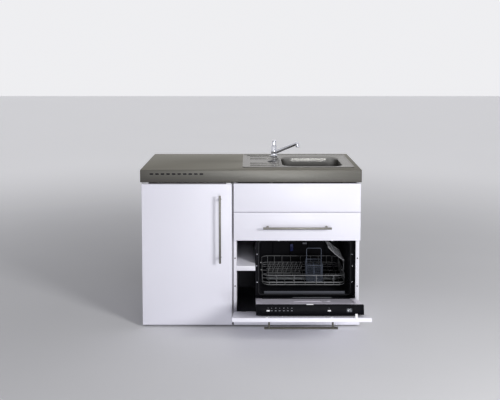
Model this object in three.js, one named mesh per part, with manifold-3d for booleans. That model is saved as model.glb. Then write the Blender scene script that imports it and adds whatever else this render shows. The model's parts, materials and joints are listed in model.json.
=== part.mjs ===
// A steel mini kitchen, 1.2 m wide: a folded stainless worktop with an inset sink and tap over a refrigerator
// on the left and, on the right, a blind panel, a drawer and a fold-down flap that hides a compact dishwasher.
// Millimetres, +Z up. The unit's front faces -Y. While the pieces are made, y = 0 is the front of the worktop
// and z = 0 the floor; the group at the end moves the origin to the middle of the footprint.
// Rest pose: refrigerator and drawer shut, flap and dishwasher door open.

import * as THREE from "three";
import { mergeVertices } from "three/addons/utils/BufferGeometryUtils.js";
import Module from "manifold-3d";

const wasm = await Module();
wasm.setup();

// ---------------------------------------------------------------- driving dimensions

// Whole unit
const unitWidth = 1200;
const unitDepth = 600;
const unitHeight = 870;
const fit = 0.3; // clearance between pieces that seat on each other
const seam = 3; // gap between neighbouring fronts

// Worktop
const topSheet = 1.5;
const apronHeight = 68;
const apronLip = 18;
const coreThickness = 18;
const slotCount = 10;
const slotPitch = 30;
const slotLength = 22;
const slotHeight = 6;
const slotInset = 51.5; // from the unit's left end to the first slot
const slotDrop = 19; // from the worktop surface to the top of a slot

// Sink
const sinkWidth = 620;
const sinkDepth = 480;
const sinkRightInset = 27; // from the unit's right end
const sinkBackInset = 40; // from the worktop's back edge
const sinkSheet = 1.5;
const sinkRimWidth = 8;
const sinkRimHeight = 4;
const sinkCornerRadius = 18;
const sinkCutInset = 13; // how far the worktop's cut-out lies inside the sink's outline
const bowlWidth = 340;
const bowlLength = 346;
const bowlDepth = 150;
const bowlCornerRadius = 70;
const bowlFloorRadius = 28;
const bowlRightLedge = 55;
const bowlFrontLedge = 35;
const drainerRibWidth = 6;
const drainerRibHeight = 2;
const drainerRibPlaces = [84, 156, 320, 406]; // from the sink's front edge
const drainerRibLength = 168;
const drainerRibInset = 42; // from the sink's left edge
const overflowRadius = 12;
const overflowFlange = 19;
const overflowFromLeft = 165;
const overflowFromFront = 216;

// Waste
const wasteHoleRadius = 44;
const wasteFlangeRadius = 52;
const wasteFlange = 2;
const wasteBodyHeight = 46;
const wasteWall = 2.5;
const wasteOutletRadius = 21;
const plugRadius = 38;
const plugHeight = 16;
const pipeRadius = 20;
const pipeDrop = 22; // from the waste's outlet to the level run
const trapRadius = 34;
const trapHeight = 110;
const trapFromBack = 92;
const trapTopDrop = 30; // from the level run to the trap's top
const trapOutletDrop = 36; // from the trap's top to its outlet
const branchRadius = 11;

// Tap
const tapFromSinkLeft = 189;
const tapFromSinkBack = 54;
const tapFlangeRadius = 24;
const tapFlange = 5;
const tapShankRadius = 15;
const tapShankLength = 42;
const tapColumnRadius = 17;
const tapColumnHeight = 62;
const spoutCollarRadius = 21.5;
const spoutCollarHeight = 24;
const spoutCollarUp = 14; // height of the collar above the sink
const spoutRadius = 9;
const spoutReach = 190;
const spoutRise = 66;
const spoutDrop = 20;
const spoutAngle = -45; // degrees from +X, seen from above
const capRadius = 13.5;
const capHeight = 28;
const leverLength = 92;
const leverWidth = 16;
const leverThickness = 5;
const leverHubHeight = 10;
const leverTilt = 10;

// Carcass
const frontSetback = 2; // fronts behind the worktop's edge
const frontThickness = 20;
const frontEdge = 1.5;
const carcassInset = 6; // carcass inside the worktop at each end
const carcassFront = 24;
const sideSheet = 6;
const leftSideFront = 50; // clear of the refrigerator door's hinge edge
const rightSideThickness = 20;
const partitionThickness = 16;
const nicheWidth = 103.7; // from the partition to the dishwasher
const frontsRightInset = 4; // right-hand fronts inside the worktop's end
const footHeight = 12;
const footRadius = 20;
const footInsetX = 45;
const footFrontInset = 130;
const footBackInset = 60;
const floorSheet = 12;
const backSheet = 6;
const plinthTop = 60;
const frontsBottom = 11;
const frontsTop = 795;
const blindPanelHeight = 156;
const drawerFrontHeight = 155;

// Niche beside the dishwasher
const shelfThickness = 27;
const shelfBottom = 302;
const shelfSetback = 40;

// Bar handles
const handleLength = 370;
const handleSpacing = 320;
const handleRadius = 6;
const postRadius = 5;
const handleStandoff = 35;
const drawerHandleUp = 76; // above the drawer front's lower edge
const flapHandleUp = 330; // along the flap from its hinge
const fridgeHandleFromEdge = 63;
const fridgeHandleHeight = 550;

// Drawer
const drawerBoxBackGap = 33.7; // from the drawer's box to the trap
const drawerBoxUp = 16; // above the drawer front's lower edge
const drawerBoxHeight = 103;
const drawerWall = 12;
const drawerBottom = 6;
const runnerWidth = 12.5;
const runnerHeight = 40;
const runnerLength = 480;
const runnerSheet = 2;

// Flap
const flapPivotBack = 8; // hinge axis behind the worktop's front
const flapPivotUp = 69;
const flapOpening = 73.5;
const flapHingeWidth = 24;
const flapHingeInset = 54; // from each end of the flap to the middle of a hinge
const flapKnuckleRadius = 7;
const flapPinRadius = 2.5;
const flapArmThickness = 6;
const flapLegBack = 36;

// Dishwasher
const washerWidth = 549;
const washerTop = 478;
const washerBottom = 40;
const washerFront = 82;
const washerBackGap = 15.5; // from the dishwasher to the back panel
const washerWall = 23;
const tubFloor = 158;
const washerToeDepth = 30;
const washerFootRadius = 15;
const washerDoorFront = 26;
const washerDoorThickness = 50;
const washerDoorBottom = 108;
const washerDoorTop = 476;
const washerDoorOpening = 76.8;
const washerPivotBack = 56;
const washerPivotUp = 128;
const washerLinerThickness = 6;
const washerPanelHeight = 30; // of the control panel along the top edge of the door
const washerEarWidth = 8;
const washerEarRadius = 8;
const washerPinRadius = 3;
const washerEarInset = 40;
const sealWidth = 10;
const buttonLength = 16;
const buttonWidth = 7;
const buttonProud = 1;
const buttonTravel = 1.5;
const powerFromLeft = 62;
const startFromLeft = 372;
const lidLength = 130;
const lidHeight = 40;
const lidThickness = 5;
const lidUp = 150; // from the door's hinge axis to the lid's hinge
const latchWidth = 36;
const latchDepth = 4; // how far the catch stands out of the door's back
const latchGap = 2; // from the catch to the seal below it and the door's top edge above it
const sprayLength = 420;
const sprayWidth = 34;
const sprayThickness = 8;
const sprayHubRadius = 16;
const sprayHubHeight = 8;

// Dish rack
const rackSideGap = 15; // from the tub's wall to the rack
const rackFront = 125;
const rackBackGap = 39; // from the rack to the tub's back wall
const rackBottom = 192;
const rackHeight = 55;
const rackCorner = 50;
const wire = 4.6;
const crossWire = 3.8; // the thinner wires of the cup shelf
const railBottom = 208;
const railGap = 14;
const railSheet = 4;
const railWidth = 11; // how far a rail stands out of the tub's wall
const shoeLength = 16;
const plateTineCount = 8;
const plateTineHeight = 46;
const plateTineLean = 16;
const plateRowInset = 40; // from the rack's left side to the first plate tine
const plateRowLength = 185;
const plateRowPlaces = [215, 285]; // from the rack's front
const cupTineCount = 5;
const cupTineHeight = 26;
const cupRowInset = 25; // from the rack's right side to the last cup tine
const cupRowLength = 80;
const cupRowPlace = 110; // from the rack's front
const basketWidth = 92;
const basketDepth = 124;
const basketHeight = 96;
const basketFromLeft = 271; // from the tub's left wall
const basketFromFront = 46; // behind the rack's front
const basketWall = 2.5;
const basketHandleRise = 84;
const cupPostInset = 85; // from the rack's front and back to the cup shelf's posts
const cupShelfWidth = 118;
const cupShelfUp = 62; // hinge rod above the rack's rim
const cupShelfTilt = 41;

// Refrigerator
const fridgeGap = 7; // from the unit's left part to the refrigerator's cabinet
const fridgeFront = 54;
const fridgeBackGap = 36.5; // from the refrigerator's cabinet to the unit's back
const fridgeTop = 790;
const fridgeWall = 35;
const skidInset = 6; // behind the front of the refrigerator's cabinet
const skidLength = 194;
const skidWidth = 40;
const skidFromSide = 30; // from the cabinet's side to the middle of a skid
const compressorBayDepth = 160;
const compressorBayTop = 215;
const fridgeDoorGap = 9; // from the door's free edge to the partition
const fridgeDoorThickness = 44;
const fridgeDoorTop = 792;
const linerThickness = 14;
const linerInset = 7; // liner inside the refrigerator's opening
const hingePinInset = 6; // from the door's left edge
const hingePinRadius = 3;
const hingePlate = 4;
const hingeWidth = 34;
const binDepth = 84;
const binWall = 3;
const binHeight = 95;
const lowerBinUp = 92;
const upperBinUp = 325;
const glassThickness = 5;
const glassHeight = 420;
const glassFront = 150;
const ledgeDepth = 8;
const iceBoxBottom = 612;
const iceBoxFront = 100;
const iceBoxBackGap = 35;
const iceWall = 3;
const iceFlapThickness = 10;
const crisperHeight = 170;
const crisperWall = 3;
const dialRadius = 18;
const dialThickness = 14;
const dialHeight = 565;
const compressorRadius = 62;
const compressorHeight = 150;
const condenserTubeRadius = 3;
const condenserRuns = 9;

// ---------------------------------------------------------------- places worked out from the sizes

const leftEnd = -unitWidth / 2;
const rightEnd = unitWidth / 2;
const coreBottom = unitHeight - topSheet - coreThickness;
const apronBottom = unitHeight - apronHeight;
const frontFace = frontSetback;
const frontBack = frontSetback + frontThickness;
const carcassLeft = leftEnd + carcassInset;
const carcassRight = rightEnd - carcassInset;
const carcassTop = coreBottom - fit;
const floorBottom = footHeight;
const floorTop = footHeight + floorSheet;
const carcassBack = unitDepth - topSheet - 2;
const rightSideInner = carcassRight - rightSideThickness;
const washerRight = rightSideInner - fit;
const washerLeft = washerRight - washerWidth;
const partitionRight = washerLeft - nicheWidth;
const partitionLeft = partitionRight - partitionThickness;
const frontsLeft = partitionLeft + 1;
const frontsRight = rightEnd - frontsRightInset;
const blindBottom = frontsTop - blindPanelHeight;
const drawerFrontTop = blindBottom - seam;
const drawerFrontBottom = drawerFrontTop - drawerFrontHeight;
const flapTop = drawerFrontBottom - seam;
const flapBottom = plinthTop + seam;

const sinkRight = rightEnd - sinkRightInset;
const sinkLeft = sinkRight - sinkWidth;
const sinkBack = unitDepth - sinkBackInset;
const sinkFront = sinkBack - sinkDepth;
const sinkTop = unitHeight + sinkSheet;
const bowlRight = sinkRight - bowlRightLedge;
const bowlLeft = bowlRight - bowlWidth;
const bowlFront = sinkFront + bowlFrontLedge;
const bowlBack = bowlFront + bowlLength;
const bowlFloor = unitHeight - bowlDepth;
const bowlX = (bowlLeft + bowlRight) / 2;
const bowlY = (bowlFront + bowlBack) / 2;
const pipeOutletZ = bowlFloor - wasteBodyHeight - fit - pipeDrop - trapTopDrop - trapOutletDrop;
const overflowX = sinkLeft + overflowFromLeft;
const overflowY = sinkFront + overflowFromFront;
const tapX = sinkLeft + tapFromSinkLeft;
const tapY = sinkBack - tapFromSinkBack;
const tapTop = sinkTop + tapColumnHeight;

const washerBack = carcassBack - backSheet - washerBackGap;
const tubLeft = washerLeft + washerWall;
const tubRight = washerRight - washerWall;
const tubBack = washerBack - washerWall;
const tubTop = washerTop - washerWall;
const tubX = (tubLeft + tubRight) / 2;
const tubY = (washerFront + tubBack) / 2;
const washerDoorBack = washerDoorFront + washerDoorThickness;
const washerPanelBottom = washerDoorTop - washerPanelHeight;

const fridgeBack = carcassBack - fridgeBackGap;
const fridgeLeft = carcassLeft + fridgeGap;
const fridgeRight = partitionLeft - 2;
const fridgeDoorLeft = carcassLeft;
const fridgeDoorRight = partitionLeft - fridgeDoorGap;
const fridgeDoorBack = frontFace + fridgeDoorThickness;
const fridgeInnerLeft = fridgeLeft + fridgeWall;
const fridgeInnerRight = fridgeRight - fridgeWall;
const fridgeBottom = floorTop + 1;
const fridgeInnerFloor = fridgeBottom + fridgeWall;
const fridgeInnerTop = fridgeTop - fridgeWall;
const fridgeInnerBack = fridgeBack - fridgeWall;
const fridgeStepFront = fridgeBack - compressorBayDepth - fridgeWall;
const fridgeStepTop = compressorBayTop + fridgeWall;
const hingePinX = fridgeDoorLeft + hingePinInset;
const hingePinY = (frontFace + fridgeDoorBack) / 2;

// ---------------------------------------------------------------- finishes

const finish = (color, roughness, metalness) =>
  new THREE.MeshStandardMaterial({ color, roughness, metalness });
const whiteSteel = finish(0xe9e8ee, 0.25, 0.1);
const brushedSteel = finish(0x77736f, 0.4, 0.9);
const sinkSteel = finish(0xaaa9a7, 0.3, 0.95);
const chrome = finish(0xc4c6c8, 0.12, 1);
const satinBar = finish(0xb4b4b2, 0.3, 0.95);
const board = finish(0xa98d68, 0.8, 0);
const blackPlastic = finish(0x1b1c1f, 0.35, 0);
const blackTub = finish(0x2b2c30, 0.5, 0.4);
const silverLiner = finish(0xa8a9ac, 0.35, 0.8);
const greyWire = finish(0x8c8e90, 0.45, 0.2);
const basketPlastic = finish(0x8d94a0, 0.5, 0);
const whitePlastic = finish(0xf0f1f1, 0.45, 0);
const clearPlastic = finish(0xd3e2e8, 0.15, 0);
const rubber = finish(0x26262a, 0.9, 0);
const glass = finish(0xbfd6d4, 0.05, 0);
const pipePlastic = finish(0xd8d9d8, 0.5, 0);
const blackSteel = finish(0x232427, 0.5, 0.5);
const galvanised = finish(0x9a9ea2, 0.45, 0.8);

// ---------------------------------------------------------------- solids

const X = new THREE.Vector3(1, 0, 0);
const Y = new THREE.Vector3(0, 1, 0);
const Z = new THREE.Vector3(0, 0, 1);
const radians = THREE.MathUtils.degToRad;

/** A closed three.js geometry as a solid that can be joined and cut. */
function solid(geometry) {
  const bare = new THREE.BufferGeometry();
  bare.setAttribute("position", geometry.getAttribute("position"));
  if (geometry.index) bare.setIndex(geometry.index);
  const merged = mergeVertices(bare, 1e-4);
  return new wasm.Manifold(
    new wasm.Mesh({
      numProp: 3,
      vertProperties: merged.attributes.position.array,
      triVerts: new Uint32Array(merged.index.array),
    }),
  );
}

/** A box between two corners, given axis by axis. */
function block([x0, x1], [y0, y1], [z0, z1]) {
  const g = new THREE.BoxGeometry(x1 - x0, y1 - y0, z1 - z0);
  return solid(g.translate((x0 + x1) / 2, (y0 + y1) / 2, (z0 + z1) / 2));
}

/** The outline of a rectangle with round corners, as a shape in its own plane. */
function roundedRect([u0, u1], [v0, v1], radius, steps = 6) {
  const corners = [
    [u1 - radius, v0 + radius, -90],
    [u1 - radius, v1 - radius, 0],
    [u0 + radius, v1 - radius, 90],
    [u0 + radius, v0 + radius, 180],
  ];
  const points = corners.flatMap(([u, v, start]) =>
    Array.from({ length: steps + 1 }, (_, i) => {
      const a = radians(start + (90 * i) / steps);
      return new THREE.Vector2(u + radius * Math.cos(a), v + radius * Math.sin(a));
    }),
  );
  return new THREE.Shape(points);
}

/** A shape pushed out along an axis between two places: its plane is YZ for x, XZ for y and XY for z.
 *  An edge above 0 rounds or chamfers the rims at both ends. */
function prism(shape, axis, from, to, edge = 0, edgeSteps = 1) {
  const g = new THREE.ExtrudeGeometry(shape, {
    depth: to - from - 2 * edge,
    bevelEnabled: edge > 0,
    bevelThickness: edge,
    bevelSize: edge,
    bevelOffset: -edge,
    bevelSegments: edgeSteps,
  });
  const turn = new THREE.Matrix4();
  if (axis === "x") g.applyMatrix4(turn.makeBasis(Y, Z, X)).translate(from + edge, 0, 0);
  if (axis === "y") g.applyMatrix4(turn.makeBasis(X, Z, Y.clone().negate())).translate(0, to - edge, 0);
  if (axis === "z") g.translate(0, 0, from + edge);
  return solid(g);
}

/** A front or panel: a board in the XZ plane with softened edges. */
function panel(x, [y0, y1], z, edge = frontEdge) {
  return prism(roundedRect(x, z, edge, 2), "y", y0, y1, edge);
}

/** A round bar between two points. */
function rod(from, to, radius, sides = 12) {
  const a = new THREE.Vector3(...from);
  const b = new THREE.Vector3(...to);
  const g = new THREE.CylinderGeometry(radius, radius, a.distanceTo(b), sides);
  g.applyQuaternion(new THREE.Quaternion().setFromUnitVectors(Y, b.clone().sub(a).normalize()));
  return solid(g.translate(...a.add(b).multiplyScalar(0.5).toArray()));
}

function ball(centre, radius, sides = 12) {
  return solid(new THREE.SphereGeometry(radius, sides, sides / 2).translate(...centre));
}

/** A turned piece on a vertical axis. Its profile is a list of [radius, height], counter-clockwise. */
function turned(profile, x, y, sides = 32) {
  const points = profile.map(([r, h]) => new THREE.Vector2(r, h));
  if (profile[0][0] > 0) points.push(points[0].clone());
  const g = new THREE.LatheGeometry(points, sides).rotateX(Math.PI / 2);
  return solid(g.translate(x, y, 0));
}

/** A bar swept along a smooth line through the points. */
function sweep(points, radius, steps, sides = 12) {
  const section = new THREE.Shape(new THREE.EllipseCurve(0, 0, radius, radius).getPoints(sides).slice(0, sides));
  const path = new THREE.CatmullRomCurve3(points.map((p) => new THREE.Vector3(...p)));
  return solid(new THREE.ExtrudeGeometry(section, { steps, extrudePath: path }));
}

const join = (...solids) => solids.flat().reduce((all, s) => all.add(s));
const cut = (body, ...tools) => tools.flat().reduce((left, s) => left.subtract(s), body);

/** An open-topped box: outer walls, one wall thickness and its own floor thickness. */
function tray(x, y, z, wall, floor) {
  return cut(
    block(x, y, z),
    block([x[0] + wall, x[1] - wall], [y[0] + wall, y[1] - wall], [z[0] + floor, z[1] + 1]),
  );
}

/** A flat ring of wire round a rectangle with round corners. */
function wireRing(x, y, middle, radius) {
  const inner = (range) => [range[0] + wire, range[1] - wire];
  const z = [middle - wire / 2, middle + wire / 2];
  return cut(
    prism(roundedRect(x, y, radius), "z", ...z),
    prism(roundedRect(inner(x), inner(y), radius - wire), "z", z[0] - 1, z[1] + 1),
  );
}

const wireRod = (from, to, sides = 6) => rod(from, to, wire / 2, sides);

/** A straight bar handle on two posts. It stands on the plane y = face and runs along X or Z. */
function barHandle(x, z, face, alongX) {
  const at = (offset) => (alongX ? [x + offset, z] : [x, z + offset]);
  const barY = face - handleStandoff;
  const end = (offset) => [at(offset)[0], barY, at(offset)[1]];
  const post = (offset) => rod([at(offset)[0], face, at(offset)[1]], end(offset), postRadius, 12);
  return join(
    rod(end(-handleLength / 2), end(handleLength / 2), handleRadius, 16),
    post(-handleSpacing / 2),
    post(handleSpacing / 2),
  );
}

// ---------------------------------------------------------------- the scene graph

const kitchenette = new THREE.Group();

/** A group that turns about a line along X or Z through a point. Its pieces keep the unit's coordinates. */
function hinged(parent, [x, y, z], turnX, turnZ = 0) {
  const group = new THREE.Group();
  group.position.set(x, y, z);
  group.rotation.set(radians(turnX), 0, radians(turnZ));
  const content = new THREE.Group();
  content.position.set(-x, -y, -z);
  group.add(content);
  parent.add(group);
  return content;
}

/** Adds a solid to the scene as a named mesh. */
function add(name, body, material, parent = kitchenette) {
  const { vertProperties, triVerts } = body.getMesh();
  const g = new THREE.BufferGeometry();
  g.setAttribute("position", new THREE.BufferAttribute(vertProperties, 3));
  g.setIndex(new THREE.BufferAttribute(triVerts, 1));
  g.computeVertexNormals();
  const mesh = new THREE.Mesh(g, material);
  mesh.name = name;
  parent.add(mesh);
}

// ---------------------------------------------------------------- worktop

const sinkCutX = [sinkLeft + sinkCutInset, sinkRight - sinkCutInset];
const sinkCutY = [sinkFront + sinkCutInset, sinkBack - sinkCutInset];

function worktopSkin() {
  const top = unitHeight - topSheet;
  const x = [leftEnd, rightEnd];
  const folded = join(
    block(x, [0, unitDepth], [top, unitHeight]),
    block(x, [0, topSheet], [apronBottom, unitHeight]),
    block([leftEnd, leftEnd + topSheet], [0, unitDepth], [apronBottom, unitHeight]),
    block([rightEnd - topSheet, rightEnd], [0, unitDepth], [apronBottom, unitHeight]),
    block(x, [unitDepth - topSheet, unitDepth], [coreBottom, unitHeight]),
    block(x, [0, apronLip], [apronBottom, apronBottom + topSheet]),
  );
  const slotTop = unitHeight - slotDrop;
  const slots = Array.from({ length: slotCount }, (_, i) => {
    const start = leftEnd + slotInset + i * slotPitch;
    const outline = roundedRect([start, start + slotLength], [slotTop - slotHeight, slotTop], slotHeight / 2.2, 3);
    return prism(outline, "y", -1, topSheet + 1);
  });
  return cut(folded, slots, block(sinkCutX, sinkCutY, [top - 1, unitHeight + 1]));
}

function worktopCore() {
  const edge = topSheet + fit;
  const z = [coreBottom, unitHeight - topSheet];
  return cut(
    block([leftEnd + edge, rightEnd - edge], [edge, unitDepth - edge], z),
    block(sinkCutX, sinkCutY, [z[0] - 1, z[1] + 1]),
  );
}

add("worktop_skin", worktopSkin(), brushedSteel);
add("worktop_core", worktopCore(), board);

// ---------------------------------------------------------------- sink and its waste

function sink() {
  const x = [sinkLeft, sinkRight];
  const y = [sinkFront, sinkBack];
  const inside = (range, by) => [range[0] + by, range[1] - by];
  const deck = prism(roundedRect(x, y, sinkCornerRadius), "z", unitHeight, sinkTop);
  const rim = cut(
    prism(roundedRect(x, y, sinkCornerRadius), "z", unitHeight, unitHeight + sinkRimHeight),
    prism(
      roundedRect(inside(x, sinkRimWidth), inside(y, sinkRimWidth), sinkCornerRadius - sinkRimWidth),
      "z", unitHeight - 1, unitHeight + sinkRimHeight + 1,
    ),
  );
  const bowlX0 = [bowlLeft, bowlRight];
  const bowlY0 = [bowlFront, bowlBack];
  const above = sinkTop + 4 * bowlFloorRadius;
  const hollow = prism(roundedRect(bowlX0, bowlY0, bowlCornerRadius), "z", bowlFloor, above, bowlFloorRadius, 4);
  const shellRadius = bowlFloorRadius + sinkSheet;
  const shell = prism(
    roundedRect(inside(bowlX0, -sinkSheet), inside(bowlY0, -sinkSheet), bowlCornerRadius + sinkSheet),
    "z", bowlFloor - sinkSheet, above + sinkSheet, shellRadius, 4,
  ).intersect(block([sinkLeft, sinkRight], [sinkFront, sinkBack], [bowlFloor - 2 * sinkSheet, sinkTop]));
  const ribStart = sinkLeft + drainerRibInset;
  const ribs = drainerRibPlaces.map((place) => {
    const middle = sinkFront + place;
    const outline = roundedRect(
      [ribStart, ribStart + drainerRibLength],
      [middle - drainerRibWidth / 2, middle + drainerRibWidth / 2],
      drainerRibWidth / 2.2,
    );
    return prism(outline, "z", unitHeight, sinkTop + drainerRibHeight);
  });
  const tapSpace = rod([tapX, tapY, sinkTop], [tapX, tapY, sinkTop + 10], tapFlangeRadius + 4, 24);
  return cut(
    join(deck, rim, ribs, shell),
    hollow,
    tapSpace,
    rod([bowlX, bowlY, bowlFloor - 10], [bowlX, bowlY, bowlFloor + 10], wasteHoleRadius, 32),
    rod([overflowX, overflowY, unitHeight - 5], [overflowX, overflowY, sinkTop + 5], overflowRadius + fit, 20),
    rod([tapX, tapY, unitHeight - 5], [tapX, tapY, sinkTop + 5], tapShankRadius + fit, 20),
  );
}

/** Strainer cup: a flange on the bowl's floor, a hollow cup under it and a narrower outlet. */
function sinkWaste() {
  const outer = wasteHoleRadius - fit;
  const bottom = bowlFloor - wasteBodyHeight;
  return turned(
    [
      [wasteFlangeRadius, bowlFloor],
      [wasteFlangeRadius, bowlFloor + wasteFlange],
      [outer - wasteWall, bowlFloor + wasteFlange],
      [outer - wasteWall, bottom + 12 + wasteWall],
      [wasteOutletRadius - wasteWall, bottom + wasteWall],
      [wasteOutletRadius - wasteWall, bottom],
      [wasteOutletRadius, bottom],
      [outer, bottom + 12],
      [outer, bowlFloor],
    ],
    bowlX, bowlY,
  );
}

/** Lift-out basket plug: a dished disc with a knob, on the cup's flange. */
function sinkPlug() {
  const rim = bowlFloor + wasteFlange;
  return turned(
    [
      [0, rim - plugHeight],
      [plugRadius - 6, rim - plugHeight],
      [plugRadius, rim - 6],
      [plugRadius, rim],
      [plugRadius + 6, rim],
      [plugRadius + 6, rim + 1.5],
      [plugRadius - 2, rim + 1.5],
      [plugRadius - 8, rim - plugHeight + 3],
      [5, rim - plugHeight + 3],
      [5, rim + 2],
      [8, rim + 8],
      [0, rim + 10],
    ],
    bowlX, bowlY,
  );
}

/** Waste pipe, bottle trap and wall outlet behind the drawer, with the drainer's branch pipe. */
function wastePipe() {
  const start = bowlFloor - wasteBodyHeight - fit;
  const level = start - pipeDrop;
  const trapY = unitDepth - trapFromBack;
  const branchX = overflowX;
  const branchZ = sinkTop;
  const elbow = [bowlX, bowlY, level];
  const over = [bowlX, trapY, level];
  const tee = [bowlX, bowlY + 60, level];
  const branchLow = [branchX, overflowY, level];
  const branchTurn = [branchX, bowlY + 60, level];
  const trapTop = level - trapTopDrop;
  const bottle = turned(
    [
      [0, trapTop - trapHeight],
      [trapRadius - 8, trapTop - trapHeight],
      [trapRadius, trapTop - trapHeight + 8],
      [trapRadius, trapTop - 8],
      [trapRadius - 8, trapTop],
      [0, trapTop],
    ],
    bowlX, trapY, 20,
  );
  return join(
    rod([bowlX, bowlY, start], elbow, pipeRadius),
    ball(elbow, pipeRadius),
    rod(elbow, over, pipeRadius),
    ball(over, pipeRadius),
    rod(over, [bowlX, trapY, trapTop - 20], pipeRadius),
    bottle,
    rod([bowlX, trapY, pipeOutletZ], [bowlX, carcassBack, pipeOutletZ], pipeRadius - 2),
    turned([[0, unitHeight - 14], [overflowFlange, unitHeight - 14], [overflowFlange, unitHeight - 9],
      [0, unitHeight - 9]], branchX, overflowY, 20),
    rod([branchX, overflowY, branchZ], branchLow, branchRadius),
    ball(branchLow, branchRadius),
    rod(branchLow, branchTurn, branchRadius),
    ball(branchTurn, branchRadius),
    rod(branchTurn, tee, branchRadius),
  );
}

add("sink", sink(), sinkSteel);
add("sink_waste", sinkWaste(), chrome);
add("sink_plug", sinkPlug(), chrome);
add("waste_pipe", wastePipe(), pipePlastic);

// ---------------------------------------------------------------- tap

function tapBody() {
  return join(
    turned(
      [
        [0, sinkTop],
        [tapFlangeRadius, sinkTop],
        [tapFlangeRadius, sinkTop + tapFlange - 1],
        [tapFlangeRadius - 2, sinkTop + tapFlange],
        [tapColumnRadius, sinkTop + tapFlange],
        [tapColumnRadius, tapTop],
        [0, tapTop],
      ],
      tapX, tapY,
    ),
    rod([tapX, tapY, sinkTop - tapShankLength], [tapX, tapY, sinkTop + 1], tapShankRadius, 20),
  );
}

/** A collar round the column and an arm that rises from it and turns down at its end. */
function tapSpout() {
  const low = sinkTop + spoutCollarUp;
  const bore = tapColumnRadius + fit;
  const collar = turned(
    [[bore, low], [spoutCollarRadius, low], [spoutCollarRadius, low + spoutCollarHeight],
      [bore, low + spoutCollarHeight]],
    tapX, tapY,
  );
  const away = (distance, z) => [
    tapX + distance * Math.cos(radians(spoutAngle)),
    tapY + distance * Math.sin(radians(spoutAngle)),
    z,
  ];
  const root = low + spoutCollarHeight / 2;
  const arm = sweep(
    [
      away(tapColumnRadius + 2, root),
      away(spoutReach * 0.35, root + spoutRise * 0.36),
      away(spoutReach * 0.7, root + spoutRise * 0.78),
      away(spoutReach * 0.9, root + spoutRise),
      away(spoutReach * 0.985, root + spoutRise - spoutDrop * 0.35),
      away(spoutReach, root + spoutRise - spoutDrop),
    ],
    spoutRadius, 16, 10,
  );
  const column = rod([tapX, tapY, low - 20], [tapX, tapY, tapTop], bore, 32);
  return join(collar, cut(arm, column));
}

const capTop = tapTop + fit + capHeight;

function tapCap() {
  return turned(
    [[0, tapTop + fit], [capRadius, tapTop + fit], [capRadius, capTop], [0, capTop]],
    tapX, tapY,
  );
}

/** A flat blade that points forward and slightly up from a small hub. */
function tapLever() {
  const base = capTop + fit;
  const x = [tapX - leverWidth / 2, tapX + leverWidth / 2];
  const hubBack = tapY + capRadius - 3;
  const hub = prism(roundedRect(x, [tapY - capRadius, hubBack], 4), "z", base, base + leverHubHeight);
  const blade = prism(roundedRect(x, [-leverLength, 0], 5), "z", -leverThickness, 0)
    .rotate([-leverTilt, 0, 0])
    .translate([0, tapY, base + leverHubHeight]);
  return join(hub, blade);
}

add("tap_body", tapBody(), chrome);
add("tap_spout", tapSpout(), chrome);
add("tap_cap", tapCap(), chrome);
add("tap_lever", tapLever(), chrome);

// ---------------------------------------------------------------- carcass

function cabinetFloor() {
  const outline = new THREE.Shape(
    [
      [carcassLeft, fridgeFront + 2],
      [partitionLeft, fridgeFront + 2],
      [partitionLeft, carcassFront],
      [carcassRight, carcassFront],
      [carcassRight, carcassBack - backSheet],
      [carcassLeft, carcassBack - backSheet],
    ].map((p) => new THREE.Vector2(...p)),
  );
  return prism(outline, "z", floorBottom, floorTop);
}

function cabinetBack() {
  return cut(
    block([partitionLeft, carcassRight], [carcassBack - backSheet, carcassBack], [floorBottom, carcassTop]),
    rod([bowlX, carcassBack - 20, pipeOutletZ], [bowlX, carcassBack + 20, pipeOutletZ], pipeRadius + 3, 24),
  );
}

/** A front board with two pads at the back that seat on the front edges of the carcass. */
function seatedFront(z, padZ) {
  const pad = (x) => block(x, [frontBack - 1, carcassFront - fit], padZ);
  return join(
    panel([frontsLeft, frontsRight], [frontFace, frontBack], z),
    pad([frontsLeft + 2, partitionRight - 2]),
    pad([rightSideInner + 2, carcassRight - 2]),
  );
}

const sideDepth = [carcassFront, carcassBack - backSheet - fit];
const sideHeight = [floorTop + fit, carcassTop];
add("left_side", block([carcassLeft, carcassLeft + sideSheet], [leftSideFront, carcassBack], sideHeight), whiteSteel);
add("partition", block([partitionLeft, partitionRight], sideDepth, sideHeight), whiteSteel);
add("right_side", block([rightSideInner, carcassRight], sideDepth, sideHeight), whiteSteel);
add("cabinet_floor", cabinetFloor(), whiteSteel);
add("cabinet_back", cabinetBack(), galvanised);
add("plinth", seatedFront([frontsBottom, plinthTop], [floorBottom, floorTop]), whiteSteel);
add("blind_panel", seatedFront([blindBottom, frontsTop], [blindBottom + 10, frontsTop - 10]), whiteSteel);

add(
  "niche_shelf",
  block([partitionRight + fit, washerLeft - fit], [shelfSetback, washerBack], [shelfBottom, shelfBottom + shelfThickness]),
  whiteSteel,
);

function foot(x, y) {
  return turned(
    [
      [0, 0],
      [footRadius, 0],
      [footRadius, footHeight / 2],
      [footRadius / 2, footHeight / 2 + 2],
      [footRadius / 2, footHeight],
      [0, footHeight],
    ],
    x, y, 20,
  );
}

const footX = [carcassLeft + footInsetX, carcassRight - footInsetX];
const footY = [footFrontInset, carcassBack - footBackInset];
footX.forEach((x, side) =>
  footY.forEach((y, row) => {
    const name = `foot_${["front", "back"][row]}_${["left", "right"][side]}`;
    add(name, foot(x, y), blackPlastic);
  }),
);

// ---------------------------------------------------------------- drawer

const drawerBoxBottom = drawerFrontBottom + drawerBoxUp;
const drawerBoxLeft = partitionRight + runnerWidth;
const drawerBoxRight = rightSideInner - runnerWidth;
const drawerBoxFront = frontBack + fit;
const drawerBoxBack = unitDepth - trapFromBack - trapRadius - drawerBoxBackGap;
const runnerZ = drawerBoxBottom + 26;

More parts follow.
